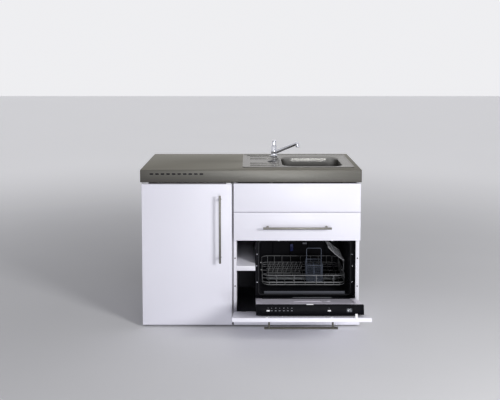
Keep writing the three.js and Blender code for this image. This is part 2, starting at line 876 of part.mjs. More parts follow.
/** A U-shaped rail, open towards the drawer. The wall is where it is screwed on, toward is +1 or -1. */
function runner(wall, toward) {
  const span = (from, to) => (toward > 0 ? [wall + from, wall + to] : [wall - to, wall - from]);
  const y = [carcassFront + 2, carcassFront + 2 + runnerLength];
  const deep = runnerWidth - 2;
  return join(
    block(span(fit, fit + runnerSheet), y, [runnerZ, runnerZ + runnerHeight]),
    block(span(fit, deep), y, [runnerZ, runnerZ + runnerSheet]),
    block(span(fit, deep), y, [runnerZ + runnerHeight - runnerSheet, runnerZ + runnerHeight]),
  );
}

function drawerBox() {
  const y = [drawerBoxFront, drawerBoxBack];
  const slideZ = [runnerZ + runnerSheet + fit, runnerZ + runnerHeight - runnerSheet - fit];
  const slideY = [y[0] + 4, y[1]];
  const inRail = runnerWidth - fit - runnerSheet - 1;
  return join(
    tray([drawerBoxLeft, drawerBoxRight], y, [drawerBoxBottom, drawerBoxBottom + drawerBoxHeight],
      drawerWall, drawerBottom),
    block([drawerBoxLeft - inRail, drawerBoxLeft + 1], slideY, slideZ),
    block([drawerBoxRight - 1, drawerBoxRight + inRail], slideY, slideZ),
  );
}

const frontsX = (frontsLeft + frontsRight) / 2;
add("drawer_runner_left", runner(partitionRight, 1), galvanised);
add("drawer_runner_right", runner(rightSideInner, -1), galvanised);
add("drawer_front", panel([frontsLeft, frontsRight], [frontFace, frontBack], [drawerFrontBottom, drawerFrontTop]),
  whiteSteel);
add("drawer_box", drawerBox(), galvanised);
add("drawer_handle", barHandle(frontsX, drawerFrontBottom + drawerHandleUp, frontFace, true), satinBar);

// ---------------------------------------------------------------- fold-down flap

const flapHinges = [frontsLeft + flapHingeInset, frontsRight - flapHingeInset];
const hingeSpan = (middle, extra = 0) => [
  middle - flapHingeWidth / 2 - extra,
  middle + flapHingeWidth / 2 + extra,
];

function flapPanel() {
  const notch = (middle) =>
    block(hingeSpan(middle, 1), [frontFace - 5, frontBack + 5],
      [flapBottom - 5, flapPivotUp + flapKnuckleRadius + 2]);
  const pin = (middle) => {
    const [from, to] = hingeSpan(middle, 4);
    return rod([from, flapPivotBack, flapPivotUp], [to, flapPivotBack, flapPivotUp], flapPinRadius, 12);
  };
  const face = panel([frontsLeft, frontsRight], [frontFace, frontBack], [flapBottom, flapTop]);
  return join(cut(face, flapHinges.map(notch)), flapHinges.map(pin));
}

/** A knuckle round the flap's pin, on an arm that stands on the cabinet's floor. */
function flapHinge(middle) {
  const [x0, x1] = hingeSpan(middle);
  const armTop = flapPivotUp - 1;
  const axis = (extra) => [
    [x0 - extra, flapPivotBack, flapPivotUp],
    [x1 + extra, flapPivotBack, flapPivotUp],
  ];
  return cut(
    join(
      rod(...axis(0), flapKnuckleRadius, 20),
      block([x0, x1], [flapPivotBack, flapLegBack + flapArmThickness], [armTop - flapArmThickness, armTop]),
      block([x0, x1], [flapLegBack, flapLegBack + flapArmThickness], [floorTop, armTop]),
    ),
    rod(...axis(5), flapPinRadius + fit, 20),
  );
}

const flap = hinged(kitchenette, [0, flapPivotBack, flapPivotUp], flapOpening);
add("flap_hinge_left", flapHinge(flapHinges[0]), galvanised);
add("flap_hinge_right", flapHinge(flapHinges[1]), galvanised);
add("flap_panel", flapPanel(), whiteSteel, flap);
add("flap_handle", barHandle(frontsX, flapPivotUp + flapHandleUp, frontFace, true), satinBar, flap);

// ---------------------------------------------------------------- dishwasher

const washerEars = [washerLeft + washerEarInset, washerRight - washerEarInset];
const earSpan = (middle, extra = 0) => [
  middle - washerEarWidth / 2 - extra,
  middle + washerEarWidth / 2 + extra,
];
const sealInner = { x: [tubLeft, tubRight], z: [tubFloor, tubTop] };
const sealOuter = {
  x: [tubLeft - sealWidth, tubRight + sealWidth],
  z: [tubFloor - sealWidth, tubTop + sealWidth],
};
const toeTop = sealOuter.z[0];
const railZ = [railBottom, railBottom + railSheet + railGap + railSheet];

function washerCasing() {
  const x = [washerLeft, washerRight];
  const shell = cut(
    block(x, [washerFront, washerBack], [washerBottom, washerTop]),
    prism(roundedRect(sealInner.x, sealInner.z, 20), "y", washerFront - 1, tubBack),
    block([x[0] - 1, x[1] + 1], [washerFront - 1, washerFront + washerToeDepth], [washerBottom - 1, toeTop]),
  );
  const ears = washerEars.map((middle) => {
    const span = earSpan(middle);
    const bore = earSpan(middle, 5);
    const at = (sides) => sides.map((side) => [side, washerPivotBack, washerPivotUp]);
    return cut(
      join(
        rod(...at(span), washerEarRadius, 20),
        block(span, [washerPivotBack, washerFront + washerToeDepth + 1],
          [washerPivotUp - washerEarRadius + 1, washerPivotUp + washerEarRadius - 1]),
      ),
      rod(...at(bore), washerPinRadius + fit, 20),
    );
  });
  const rail = (wall, toward) => {
    const span = toward > 0 ? [wall - 1, wall + railWidth] : [wall - railWidth, wall + 1];
    const y = [washerFront + 14, tubBack - 10];
    return [
      block(span, y, [railZ[0], railZ[0] + railSheet]),
      block(span, y, [railZ[1] - railSheet, railZ[1]]),
    ];
  };
  const boss = rod([tubX, tubY, tubFloor - 2], [tubX, tubY, tubFloor + sprayHubHeight], sprayHubRadius - 3, 20);
  const footing = [x[0] + 40, x[1] - 40].flatMap((fx) =>
    [washerFront + 70, washerBack - 50].map((fy) => rod([fx, fy, floorTop], [fx, fy, washerBottom + 1], washerFootRadius, 16)),
  );
  return join(shell, ears, rail(tubLeft, 1), rail(tubRight, -1), boss, footing);
}

function washerSeal() {
  return cut(
    prism(roundedRect(sealOuter.x, sealOuter.z, 24), "y", washerDoorBack + fit, washerFront),
    prism(roundedRect(sealInner.x, sealInner.z, 20), "y", washerDoorBack - 1, washerFront + 1),
  );
}

const washerDoorX = [washerLeft + 1, washerRight - 1];
const lidX = [tubX - lidLength / 2, tubX + lidLength / 2];
const lidHinge = { y: washerDoorBack - fit - 1, z: washerPivotUp + lidUp };
const linerFront = washerDoorBack - washerLinerThickness;

function washerDoorFrame() {
  const notch = (middle) =>
    block(earSpan(middle, 1), [washerDoorFront - 1, washerDoorBack + 1],
      [washerDoorBottom - 1, washerPivotUp + washerEarRadius + 3]);
  const pin = (middle) => {
    const [from, to] = earSpan(middle, 4);
    return rod([from, washerPivotBack, washerPivotUp], [to, washerPivotBack, washerPivotUp], washerPinRadius, 12);
  };
  const body = block(washerDoorX, [washerDoorFront, linerFront - fit], [washerDoorBottom, washerPanelBottom - fit]);
  return join(cut(body, washerEars.map(notch)), washerEars.map(pin));
}

function washerDoorLiner() {
  const z = [washerDoorBottom, washerPanelBottom - fit];
  const notch = (middle) =>
    block(earSpan(middle, 1), [linerFront - 1, washerDoorBack + 1], [z[0] - 1, washerPivotUp + washerEarRadius + 3]);
  const pocket = block(
    [lidX[0] - fit, lidX[1] + fit],
    [washerDoorBack - lidThickness - 0.5, washerDoorBack + 1],
    [lidHinge.z - 3, lidHinge.z + lidHeight + 1],
  );
  return cut(block(washerDoorX, [linerFront, washerDoorBack], z), pocket, washerEars.map(notch));
}

const buttonAt = (fromLeft) => washerLeft + fromLeft;
const buttonMiddle = washerDoorFront + washerDoorThickness * 0.42;

/** The strip along the door's top edge, with a recess for each button and the catch in its middle. */
function washerPanel() {
  const recess = (fromLeft) =>
    prism(
      roundedRect(
        [buttonAt(fromLeft) - buttonLength / 2 - fit, buttonAt(fromLeft) + buttonLength / 2 + fit],
        [buttonMiddle - buttonWidth / 2 - fit, buttonMiddle + buttonWidth / 2 + fit],
        buttonWidth / 3, 3,
      ),
      "z", washerDoorTop - 5, washerDoorTop + 1,
    );
  const strip = panel(washerDoorX, [washerDoorFront, washerDoorBack], [washerPanelBottom, washerDoorTop], 2);
  const latch = block(
    [tubX - latchWidth / 2, tubX + latchWidth / 2],
    [washerDoorBack - 1, washerDoorBack + latchDepth],
    [sealOuter.z[1] + latchGap, washerDoorTop - latchGap],
  );
  return join(cut(strip, recess(powerFromLeft), recess(startFromLeft)), latch);
}

function button(fromLeft) {
  const x = [buttonAt(fromLeft) - buttonLength / 2, buttonAt(fromLeft) + buttonLength / 2];
  const y = [buttonMiddle - buttonWidth / 2, buttonMiddle + buttonWidth / 2];
  return prism(roundedRect(x, y, buttonWidth / 3, 3), "z",
    washerDoorTop - 5 + buttonTravel + fit, washerDoorTop + buttonProud);
}

/** The detergent lid, flush in the liner and hinged along its edge nearest the door's hinge. */
function dispenserLid() {
  return block([lidX[0], lidX[1]], [washerDoorBack - lidThickness, washerDoorBack - fit],
    [lidHinge.z, lidHinge.z + lidHeight]);
}

function sprayArm() {
  const low = tubFloor + sprayHubHeight + fit;
  const blade = prism(
    roundedRect([tubX - sprayLength / 2, tubX + sprayLength / 2], [tubY - sprayWidth / 2, tubY + sprayWidth / 2],
      sprayWidth / 2.1, 4),
    "z", low, low + sprayThickness, 2,
  );
  const hub = rod([tubX, tubY, low], [tubX, tubY, low + sprayThickness + 4], sprayHubRadius + 4, 20);
  return join(blade, hub);
}

add("dishwasher_casing", washerCasing(), blackTub);
add("dishwasher_seal", washerSeal(), rubber);
add("spray_arm", sprayArm(), galvanised);
const washerDoor = hinged(kitchenette, [0, washerPivotBack, washerPivotUp], washerDoorOpening);
add("dishwasher_door", washerDoorFrame(), blackPlastic, washerDoor);
add("dishwasher_door_liner", washerDoorLiner(), silverLiner, washerDoor);
add("dishwasher_control_panel", washerPanel(), blackPlastic, washerDoor);
add("power_button", button(powerFromLeft), whitePlastic, washerDoor);
add("start_button", button(startFromLeft), whitePlastic, washerDoor);
add("dispenser_lid", dispenserLid(), blackPlastic, washerDoor);

// ---------------------------------------------------------------- dish rack

const rackX = [tubLeft + rackSideGap, tubRight - rackSideGap];
const rackY = [rackFront, tubBack - rackBackGap];
const rackRim = rackBottom + rackHeight;
const rackFloor = rackBottom + wire;
const hingeRodX = rackX[1] - wire / 2;
const hingeRodZ = rackRim + cupShelfUp;
const cupPostY = [rackY[0] + cupPostInset, rackY[1] - cupPostInset];

/** The wire basket: two rings, a floor of crossed wires, uprights, plate tines and the slide's shoes. */
function dishRack() {
  const middle = rackBottom + wire / 2;
  const inset = wire / 2;
  const plateRowLeft = rackX[0] + plateRowInset;
  const cupRowRight = rackX[1] - cupRowInset;
  const spread = (from, to, count) =>
    Array.from({ length: count }, (_, i) => from + ((to - from) * i) / (count - 1));
  const lengthwise = spread(rackX[0] + rackCorner, rackX[1] - rackCorner, 7).map((x) =>
    wireRod([x, rackY[0] + inset, middle], [x, rackY[1] - inset, middle]));
  const crosswise = spread(rackY[0] + rackCorner, rackY[1] - rackCorner, 3).map((y) =>
    wireRod([rackX[0] + inset, y, middle], [rackX[1] - inset, y, middle]));
  const upright = (x, y) => wireRod([x, y, rackBottom + 1], [x, y, rackRim]);
  const frontUprights = spread(rackX[0] + rackCorner, rackX[1] - rackCorner, 5).flatMap((x) =>
    rackY.map((y, i) => upright(x, i ? y - inset : y + inset)));
  const sideUprights = spread(rackY[0] + rackCorner, rackY[1] - rackCorner, 3).flatMap((y) =>
    rackX.map((x, i) => upright(x + (i ? -inset : inset), y)));
  const tineRow = (from, to, count, y, height, lean) => [
    wireRod([from - 8, y, middle], [to + 8, y, middle]),
    ...spread(from, to, count).map((x) => wireRod([x, y, middle], [x + lean, y, middle + height], 4)),
  ];
  const shoe = (x, y) => block(
    [x < tubX ? tubLeft + fit + 1 : x - 1, x < tubX ? x + 1 : tubRight - fit - 1],
    [y - shoeLength / 2, y + shoeLength / 2],
    [railZ[0] + railSheet + fit, railZ[1] - railSheet - fit],
  );
  const shoes = [0.5, 1].flatMap((share) => {
    const y = rackY[0] + rackCorner + (rackY[1] - rackY[0] - 2 * rackCorner) * share;
    return [shoe(rackX[0] + inset, y), shoe(rackX[1] - inset, y)];
  });
  const posts = cupPostY.map((y) => wireRod([hingeRodX, y, rackBottom + 1], [hingeRodX, y, hingeRodZ]));
  const hingeRod = wireRod([hingeRodX, cupPostY[0] - inset, hingeRodZ], [hingeRodX, cupPostY[1] + inset, hingeRodZ]);
  return join(
    wireRing(rackX, rackY, rackRim, rackCorner),
    wireRing(rackX, rackY, rackBottom + rackHeight * 0.28, rackCorner),
    wireRing(rackX, rackY, middle, rackCorner),
    lengthwise, crosswise, frontUprights, sideUprights,
    plateRowPlaces.flatMap((place) =>
      tineRow(plateRowLeft, plateRowLeft + plateRowLength, plateTineCount, rackY[0] + place,
        plateTineHeight, plateTineLean)),
    tineRow(cupRowRight - cupRowLength, cupRowRight, cupTineCount, rackY[0] + cupRowPlace, cupTineHeight, 0),
    shoes, posts, hingeRod,
  );
}

const basketX = [tubLeft + basketFromLeft, tubLeft + basketFromLeft + basketWidth];
const basketY = [rackFront + basketFromFront, rackFront + basketFromFront + basketDepth];
const basketZ = [rackFloor + fit, rackFloor + fit + basketHeight];

/** A slotted plastic box with a cross of dividers and a tall square handle. */
function cutleryBasket() {
  const middleX = (basketX[0] + basketX[1]) / 2;
  const middleY = (basketY[0] + basketY[1]) / 2;
  const half = basketWall / 2;
  const inner = basketZ[0] + basketWall;
  const dividerTop = basketZ[1] - 12;
  const handleTop = basketZ[1] + basketHandleRise;
  const slotsThrough = [0.2, 0.4, 0.6, 0.8].map((share) => {
    const x = basketX[0] + basketWidth * share;
    return block([x - 4, x + 4], [basketY[0] - 1, basketY[1] + 1], [basketZ[0] + 14, dividerTop - 10]);
  });
  const leg = (x) => block([x - 2, x + 2], [middleY - 3, middleY + 3], [inner, handleTop]);
  return join(
    cut(tray(basketX, basketY, basketZ, basketWall, basketWall), slotsThrough),
    block([middleX - half, middleX + half], [basketY[0] + 1, basketY[1] - 1], [inner - 1, dividerTop]),
    block([basketX[0] + 1, basketX[1] - 1], [middleY - half, middleY + half], [inner - 1, dividerTop]),
    leg(basketX[0] + basketWall + 1), leg(basketX[1] - basketWall - 1),
    block([basketX[0] + basketWall - 1, basketX[1] - basketWall + 1], [middleY - 3, middleY + 3],
      [handleTop - 4, handleTop]),
  );
}

/** A wire shelf on a sleeve round the rack's hinge rod. It leans up and inwards. */
function cupShelf() {
  const inset = wire / 2;
  const y = [cupPostY[0] + inset + 1, cupPostY[1] - inset - 1];
  const along = (distance) => [
    hingeRodX - distance * Math.cos(radians(cupShelfTilt)),
    hingeRodZ + distance * Math.sin(radians(cupShelfTilt)),
  ];
  const bar = (distance) => {
    const [x, z] = along(distance);
    return wireRod([x, y[0], z], [x, y[1], z]);
  };
  const side = (place) => {
    const [x0, z0] = along(inset + 1.4);
    const [x1, z1] = along(cupShelfWidth);
    return rod([x0, place, z0], [x1, place, z1], crossWire / 2, 8);
  };
  const sleeve = cut(
    rod([hingeRodX, y[0], hingeRodZ], [hingeRodX, y[1], hingeRodZ], inset + 2.4, 12),
    rod([hingeRodX, y[0] - 1, hingeRodZ], [hingeRodX, y[1] + 1, hingeRodZ], inset + fit, 12),
  );
  return join(
    sleeve,
    bar(cupShelfWidth * 0.4), bar(cupShelfWidth * 0.7), bar(cupShelfWidth),
    side(y[0] + wire), side((y[0] + y[1]) / 2), side(y[1] - wire),
  );
}

add("dish_rack", dishRack(), greyWire);
add("cutlery_basket", cutleryBasket(), basketPlastic);
add("cup_shelf", cupShelf(), greyWire);

// ---------------------------------------------------------------- refrigerator cabinet

const openingX = [fridgeInnerLeft, fridgeInnerRight];
const ledgeX = [
  [openingX[0] - 1, openingX[0] + ledgeDepth],
  [openingX[1] - ledgeDepth, openingX[1] + 1],
];

function fridgeCabinet() {
  const x = [fridgeLeft, fridgeRight];
  const body = cut(
    block(x, [fridgeFront, fridgeBack], [fridgeBottom, fridgeTop]),
    block([x[0] - 1, x[1] + 1], [fridgeBack - compressorBayDepth, fridgeBack + 1], [fridgeBottom - 1, compressorBayTop]),
    block(openingX, [fridgeFront - 1, fridgeInnerBack], [fridgeStepTop, fridgeInnerTop]),
    block(openingX, [fridgeFront - 1, fridgeStepFront], [fridgeInnerFloor, fridgeStepTop + 1]),
  );
  const ledges = ledgeX.map((span) =>
    block(span, [glassFront, fridgeInnerBack + 1], [glassHeight - ledgeDepth, glassHeight]));
  const skidFront = fridgeFront + skidInset;
  const skids = [x[0] + skidFromSide, x[1] - skidFromSide].map((middle) =>
    block([middle - skidWidth / 2, middle + skidWidth / 2], [skidFront, skidFront + skidLength],
      [floorTop, fridgeBottom + 1]));
  return join(body, ledges, skids);
}

const iceX = [openingX[0] + linerInset, openingX[1] - linerInset];
const iceZ = [iceBoxBottom, fridgeInnerTop - fit];
const icePinX = iceX[0] + 6;
const icePinY = iceBoxFront - 2 - iceFlapThickness / 2;

/** The evaporator box, open to the front, with two ears that carry the pins of its flap. */
function iceBox() {
  const y = [iceBoxFront, fridgeInnerBack - iceBoxBackGap];
  const shell = cut(
    block(iceX, y, iceZ),
    block([iceX[0] + iceWall, iceX[1] - iceWall], [y[0] - 1, y[1] - iceWall], [iceZ[0] + iceWall, iceZ[1] - iceWall]),
  );
  const ear = (z0, z1, pinFrom, pinTo) => [
    block([iceX[0], icePinX + 6], [icePinY - 5, y[0] + 1], [z0, z1]),
    rod([icePinX, icePinY, pinFrom], [icePinX, icePinY, pinTo], 2, 10),
  ];
  return join(
    shell,
    ear(iceZ[0], iceZ[0] + iceWall, iceZ[0] + 1, iceZ[0] + iceWall + 7),
    ear(iceZ[1] - iceWall, iceZ[1], iceZ[1] - iceWall - 7, iceZ[1] - 1),
  );
}

function iceFlap() {
  const z = [iceZ[0] + iceWall + 1, iceZ[1] - iceWall - 1];
  const y = [icePinY - iceFlapThickness / 2, icePinY + iceFlapThickness / 2];
  const pinHole = (from, to) => rod([icePinX, icePinY, from], [icePinX, icePinY, to], 2 + fit, 10);
  const grip = block([iceX[1] - 60, iceX[1] - 20], [y[0] - 6, y[0] + 1], [z[0] + 20, z[0] + 28]);
  return cut(
    join(block([iceX[0] + 2, iceX[1] - 2], y, z), grip),
    pinHole(z[0] - 1, z[0] + 8), pinHole(z[1] - 8, z[1] + 1),
  );
}

function crisper() {
  return tray([openingX[0] + 4, openingX[1] - 4], [glassFront, fridgeStepFront - 3],
    [fridgeInnerFloor, fridgeInnerFloor + crisperHeight], crisperWall, crisperWall);
}

const dialX = fridgeInnerRight - 40;
const dialY = glassFront + 50;

function thermostatHousing() {
  return block([dialX, fridgeInnerRight - fit], [dialY - 40, dialY + 50], [dialHeight - 25, dialHeight + 25]);
}

function thermostatDial() {
  const face = dialX - fit;
  const grip = block([face - dialThickness, face - 4], [dialY - 3, dialY + 3], [dialHeight - dialRadius, dialHeight + dialRadius]);
  return join(
    rod([face - dialThickness + 5, dialY, dialHeight], [face, dialY, dialHeight], dialRadius, 24),
    grip.intersect(rod([face - 20, dialY, dialHeight], [face, dialY, dialHeight], dialRadius, 24)),
  );
}

function compressor() {
  const x = (fridgeLeft + fridgeRight) / 2 + 60;
  const y = fridgeBack - compressorBayDepth / 2 + 4;
  const low = floorTop + 10;
  const r = compressorRadius;
  const shell = turned(
    [
      [0, low],
      [r * 0.8, low],
      [r, low + 22],
      [r, low + compressorHeight - 34],
      [r * 0.8, low + compressorHeight - 8],
      [0, low + compressorHeight],
    ],
    x, y, 24,
  );
  const plate = block([x - r - 14, x + r + 14], [y - r * 0.8, y + r * 0.8], [floorTop, floorTop + 14]);
  return join(shell, plate);
}

/** A steel plate on the cabinet's back with the condenser tube winding down it. */
function condenser() {
  const x = [fridgeLeft + 35, fridgeRight - 35];
  const z = [compressorBayTop + 25, fridgeTop - 25];
  const plateY = fridgeBack + 8;
  const plate = block(x, [plateY, plateY + 1.5], z);
  const pads = x.flatMap((px, i) =>
    z.map((pz, k) => {
      const px0 = i ? px - 20 : px;
      const pz0 = k ? pz - 20 : pz;
      return block([px0, px0 + 20], [fridgeBack, plateY + 1], [pz0, pz0 + 20]);
    }));
  const tubeY = plateY + 1.5 + condenserTubeRadius * 0.6;
  const step = (z[1] - z[0] - 60) / (condenserRuns - 1);
  const runX = [x[0] + 30, x[1] - 30];
  const level = (i) => z[1] - 30 - i * step;
  const runs = Array.from({ length: condenserRuns }, (_, i) =>
    rod([runX[0], tubeY, level(i)], [runX[1], tubeY, level(i)], condenserTubeRadius, 8));
  const turns = Array.from({ length: condenserRuns - 1 }, (_, i) => {
    const end = runX[i % 2 ? 0 : 1];
    return rod([end, tubeY, level(i)], [end, tubeY, level(i + 1)], condenserTubeRadius, 8);
  });
  return join(plate, pads, runs, turns);
}

add("fridge_cabinet", fridgeCabinet(), whitePlastic);
add("ice_box", iceBox(), galvanised);
add("ice_box_flap", iceFlap(), clearPlastic);
add("glass_shelf", block([openingX[0] + fit, openingX[1] - fit], [glassFront, fridgeInnerBack - fit],
  [glassHeight, glassHeight + glassThickness]), glass);
add("crisper", crisper(), clearPlastic);
add("thermostat_housing", thermostatHousing(), whitePlastic);
add("thermostat_dial", thermostatDial(), whitePlastic);
add("compressor", compressor(), blackSteel);
add("condenser", condenser(), blackSteel);

// ---------------------------------------------------------------- refrigerator door

const doorZ = [frontsBottom, fridgeDoorTop];
const linerX = [openingX[0] + linerInset, openingX[1] - linerInset];
const linerZ = [fridgeInnerFloor + linerInset, fridgeInnerTop - linerInset];
const linerY = [fridgeDoorBack + fit, fridgeDoorBack + fit + linerThickness];
const hingeX = [fridgeDoorLeft, fridgeDoorLeft + hingeWidth];

function fridgeDoor() {
  const hole = (from, to) =>
    rod([hingePinX, hingePinY, from], [hingePinX, hingePinY, to], hingePinRadius + fit, 12);
  return cut(
    panel([fridgeDoorLeft, fridgeDoorRight], [frontFace, fridgeDoorBack], doorZ, 2.5),
    hole(doorZ[0] - 1, doorZ[0] + 14), hole(doorZ[1] - 14, doorZ[1] + 1),
  );
}

/** The seal follows the front of the cabinet, outside the liner. */
function fridgeSeal() {
  const x = [fridgeLeft + 4, fridgeRight - 10];
  const z = [fridgeBottom + 8, fridgeTop - 8];
  const width = 18;
  return cut(
    prism(roundedRect(x, z, 6, 3), "y", fridgeDoorBack + fit, fridgeFront - fit),
    prism(roundedRect([x[0] + width, x[1] - width], [z[0] + width, z[1] - width], 4, 3), "y",
      fridgeDoorBack - 1, fridgeFront + 1),
  );
}

function doorBin(up) {
  const x = [linerX[0] + 6, linerX[1] - 18];
  return tray(x, [linerY[1] + fit, linerY[1] + fit + binDepth], [up, up + binHeight], binWall, binWall);
}

/** A bracket with a pin for the door, seated on the refrigerator's top. */
function topHinge() {
  const under = doorZ[1] + 1;
  return join(
    block(hingeX, [hingePinY - 10, leftSideFront - 2], [under, under + hingePlate]),
    block([fridgeLeft + 1, hingeX[1]], [leftSideFront - 3, fridgeFront + 30], [under, under + hingePlate]),
    block([fridgeLeft + 1, hingeX[1]], [fridgeFront + 6, fridgeFront + 30], [fridgeTop, under + 1]),
    rod([hingePinX, hingePinY, doorZ[1] - 12], [hingePinX, hingePinY, under + 1], hingePinRadius, 12),
  );
}

/** Its twin under the door, seated on the underside of the cabinet's floor. */
function bottomHinge() {
  const top = doorZ[0] - 1;
  return join(
    block(hingeX, [hingePinY - 10, fridgeFront + 30], [top - hingePlate, top]),
    block(hingeX, [fridgeFront + 4, fridgeFront + 30], [top - hingePlate, floorBottom]),
    rod([hingePinX, hingePinY, top - 1], [hingePinX, hingePinY, doorZ[0] + 12], hingePinRadius, 12),
  );
}

add("fridge_hinge_top", topHinge(), whitePlastic);
add("fridge_hinge_bottom", bottomHinge(), galvanised);
add("fridge_door", fridgeDoor(), whiteSteel);
add("fridge_door_liner", panel(linerX, linerY, linerZ, 3), whitePlastic);
add("fridge_door_seal", fridgeSeal(), rubber);
add("fridge_handle", barHandle(fridgeDoorRight - fridgeHandleFromEdge, fridgeHandleHeight, frontFace, false), satinBar);
add("door_bin_lower", doorBin(lowerBinUp), clearPlastic);
add("door_bin_upper", doorBin(upperBinUp), clearPlastic);

// ---------------------------------------------------------------- the unit in its own frame

// The open flap's free edge is the unit's foremost point: its lower corner, inside the softened edge.
const flapReach = flapTop - flapPivotUp;
const flapFreeEdge =
  flapPivotBack -
  flapReach * Math.sin(radians(flapOpening)) -
  (flapPivotBack - frontFace - frontEdge) * Math.cos(radians(flapOpening));
kitchenette.position.set(0, -(flapFreeEdge + unitDepth) / 2, 0);

const unit = new THREE.Group();
unit.add(kitchenette);

export default unit;
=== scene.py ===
"""Dresses a packed steel mini kitchen: its finishes, its detailed pieces and a plain studio round them.

The file is laid out as an add-on. Each operator builds one piece or one group of like pieces in the frame
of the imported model: +X to the right along the worktop, -Y out of the fronts, +Z up, z = 0 on the floor.
Pieces are described in millimetres, and the functions under "modelling" make them in the scene's metres.
"""

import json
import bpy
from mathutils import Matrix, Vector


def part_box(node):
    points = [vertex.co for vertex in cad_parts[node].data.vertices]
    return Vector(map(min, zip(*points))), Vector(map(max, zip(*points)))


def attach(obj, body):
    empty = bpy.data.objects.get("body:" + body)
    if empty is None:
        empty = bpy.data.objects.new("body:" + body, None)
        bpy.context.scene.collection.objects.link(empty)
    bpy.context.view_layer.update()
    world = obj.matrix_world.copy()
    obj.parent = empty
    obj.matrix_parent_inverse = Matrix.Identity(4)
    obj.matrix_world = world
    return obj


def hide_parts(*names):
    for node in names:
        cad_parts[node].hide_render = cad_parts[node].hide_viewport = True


bl_info = {
    "name": "Steel mini kitchen",
    "version": (1, 0, 0),
    "blender": (4, 5, 0),
    "location": "View3D > Sidebar > Kitchen",
    "description": "Models the visible pieces and finishes of a steel mini kitchen round its packed frame",
    "category": "Add Mesh",
}

from math import cos, pi, radians, sin

import bmesh
import bpy
from bpy.props import FloatProperty, FloatVectorProperty, PointerProperty
from mathutils import Matrix, Vector

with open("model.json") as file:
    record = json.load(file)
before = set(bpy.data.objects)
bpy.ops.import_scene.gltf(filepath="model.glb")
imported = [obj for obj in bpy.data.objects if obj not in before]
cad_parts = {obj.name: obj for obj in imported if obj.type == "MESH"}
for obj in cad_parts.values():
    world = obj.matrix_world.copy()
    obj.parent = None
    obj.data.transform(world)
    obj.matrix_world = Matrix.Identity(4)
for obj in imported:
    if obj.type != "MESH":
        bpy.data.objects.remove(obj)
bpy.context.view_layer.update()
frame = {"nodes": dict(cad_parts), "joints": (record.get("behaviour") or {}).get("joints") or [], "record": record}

MM = 0.001
ROOT = "cabinet"
BEYOND = 10  # how far a cutter reaches past a face
JOINTS = {joint["name"]: joint for joint in frame["joints"]}
RATIOS = {pair["joint"]: pair["ratio"] for pair in frame["record"]["behaviour"]["couplings"]}
FLAP_OPENING = radians(JOINTS["flap_hinge"]["range_deg"][1])
DOOR_OPENING = FLAP_OPENING * RATIOS["dishwasher_door_hinge"]


# ---------------------------------------------------------------- places in the frame

def ranges(node):
    """The low and high ends of a CAD node along X, Y and Z."""
    low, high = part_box(node)
    return [(low[i] / MM, high[i] / MM) for i in range(3)]


def pivot(joint):
    return [place / MM for place in JOINTS[joint]["pos_m"]]


def size(name):
    return getattr(bpy.context.scene.kitchen_sizes, name) / MM


def middle(span):
    return (span[0] + span[1]) / 2


def inset(span, by):
    return (span[0] + by, span[1] - by)


def about(centre, half):
    return (centre - half, centre + half)


def spread(span, count):
    """Evenly spaced places from one end of a span to the other."""
    return [span[0] + (span[1] - span[0]) * i / (count - 1) for i in range(count)]


def shift(offset):
    return Matrix.Translation([part * MM for part in offset])


def swing(joint, angle):
    """The turn by an angle about a hinge along X, anticlockwise seen from +X."""
    about_hinge = Matrix.Translation(Vector(JOINTS[joint]["pos_m"]))
    return about_hinge @ Matrix.Rotation(angle, 4, "X") @ about_hinge.inverted()


def shut_ranges(node, joint, opening):
    """The box that a node fills when its door, modelled open, is shut."""
    shut = swing(joint, -opening)
    points = [shut @ vertex.co for vertex in frame["nodes"][node].data.vertices]
    return [(min(p[i] for p in points) / MM, max(p[i] for p in points) / MM) for i in range(3)]


# ---------------------------------------------------------------- modelling

def deselect():
    bpy.ops.object.select_all(action="DESELECT")


def pick(piece):
    deselect()
    piece.select_set(True)
    bpy.context.view_layer.objects.active = piece


def started(name):
    """Names the primitive that was just added and puts its place into its mesh."""
    piece = bpy.context.active_object
    piece.name = name
    piece.data.name = name
    bpy.ops.object.transform_apply(location=True, rotation=True, scale=True)
    return piece


def modify(piece, kind, **settings):
    pick(piece)
    modifier = piece.modifiers.new(kind.title(), kind)
    for key, value in settings.items():
        setattr(modifier, key, value)
    bpy.ops.object.modifier_apply(modifier=modifier.name)
    return piece


def smooth(piece, angle=35):
    pick(piece)
    bpy.ops.object.shade_smooth_by_angle(angle=radians(angle))
    return piece


def soften(piece, width, steps, angle=60):
    """Rounds the edges that are sharper than an angle."""
    if width:
        modify(piece, "BEVEL", width=width * MM, segments=steps, limit_method="ANGLE",
               angle_limit=radians(angle))
    return smooth(piece)


def edit(piece, kind, chosen, operator, **settings):
    """Runs one operator in edit mode on the vertices, edges or faces that pass a test."""
    pick(piece)
    bpy.ops.object.mode_set(mode="EDIT")
    bpy.ops.mesh.select_mode(type=kind)
    bpy.ops.mesh.select_all(action="DESELECT")
    shell = bmesh.from_edit_mesh(piece.data)
    for part in {"VERT": shell.verts, "EDGE": shell.edges, "FACE": shell.faces}[kind]:
        if chosen(part):
            part.select_set(True)
    bmesh.update_edit_mesh(piece.data)
    operator(**settings)
    bpy.ops.object.mode_set(mode="OBJECT")


def bevel_edges(piece, width, steps, chosen):
    """Rounds the edges whose two ends pass a test."""
    edit(piece, "EDGE", lambda edge: chosen(*(end.co / MM for end in edge.verts)),
         bpy.ops.mesh.bevel, offset=width * MM, segments=steps, affect="EDGES")


def join(name, pieces):
    pick(pieces[0])
    for piece in pieces[1:]:
        piece.select_set(True)
    if len(pieces) > 1:
        bpy.ops.object.join()
    pieces[0].name = name
    pieces[0].data.name = name
    return pieces[0]


def cut(piece, *cutters):
    for cutter in cutters:
        modify(piece, "BOOLEAN", operation="DIFFERENCE", object=cutter, solver="EXACT")
        bpy.data.objects.remove(cutter)
    return piece


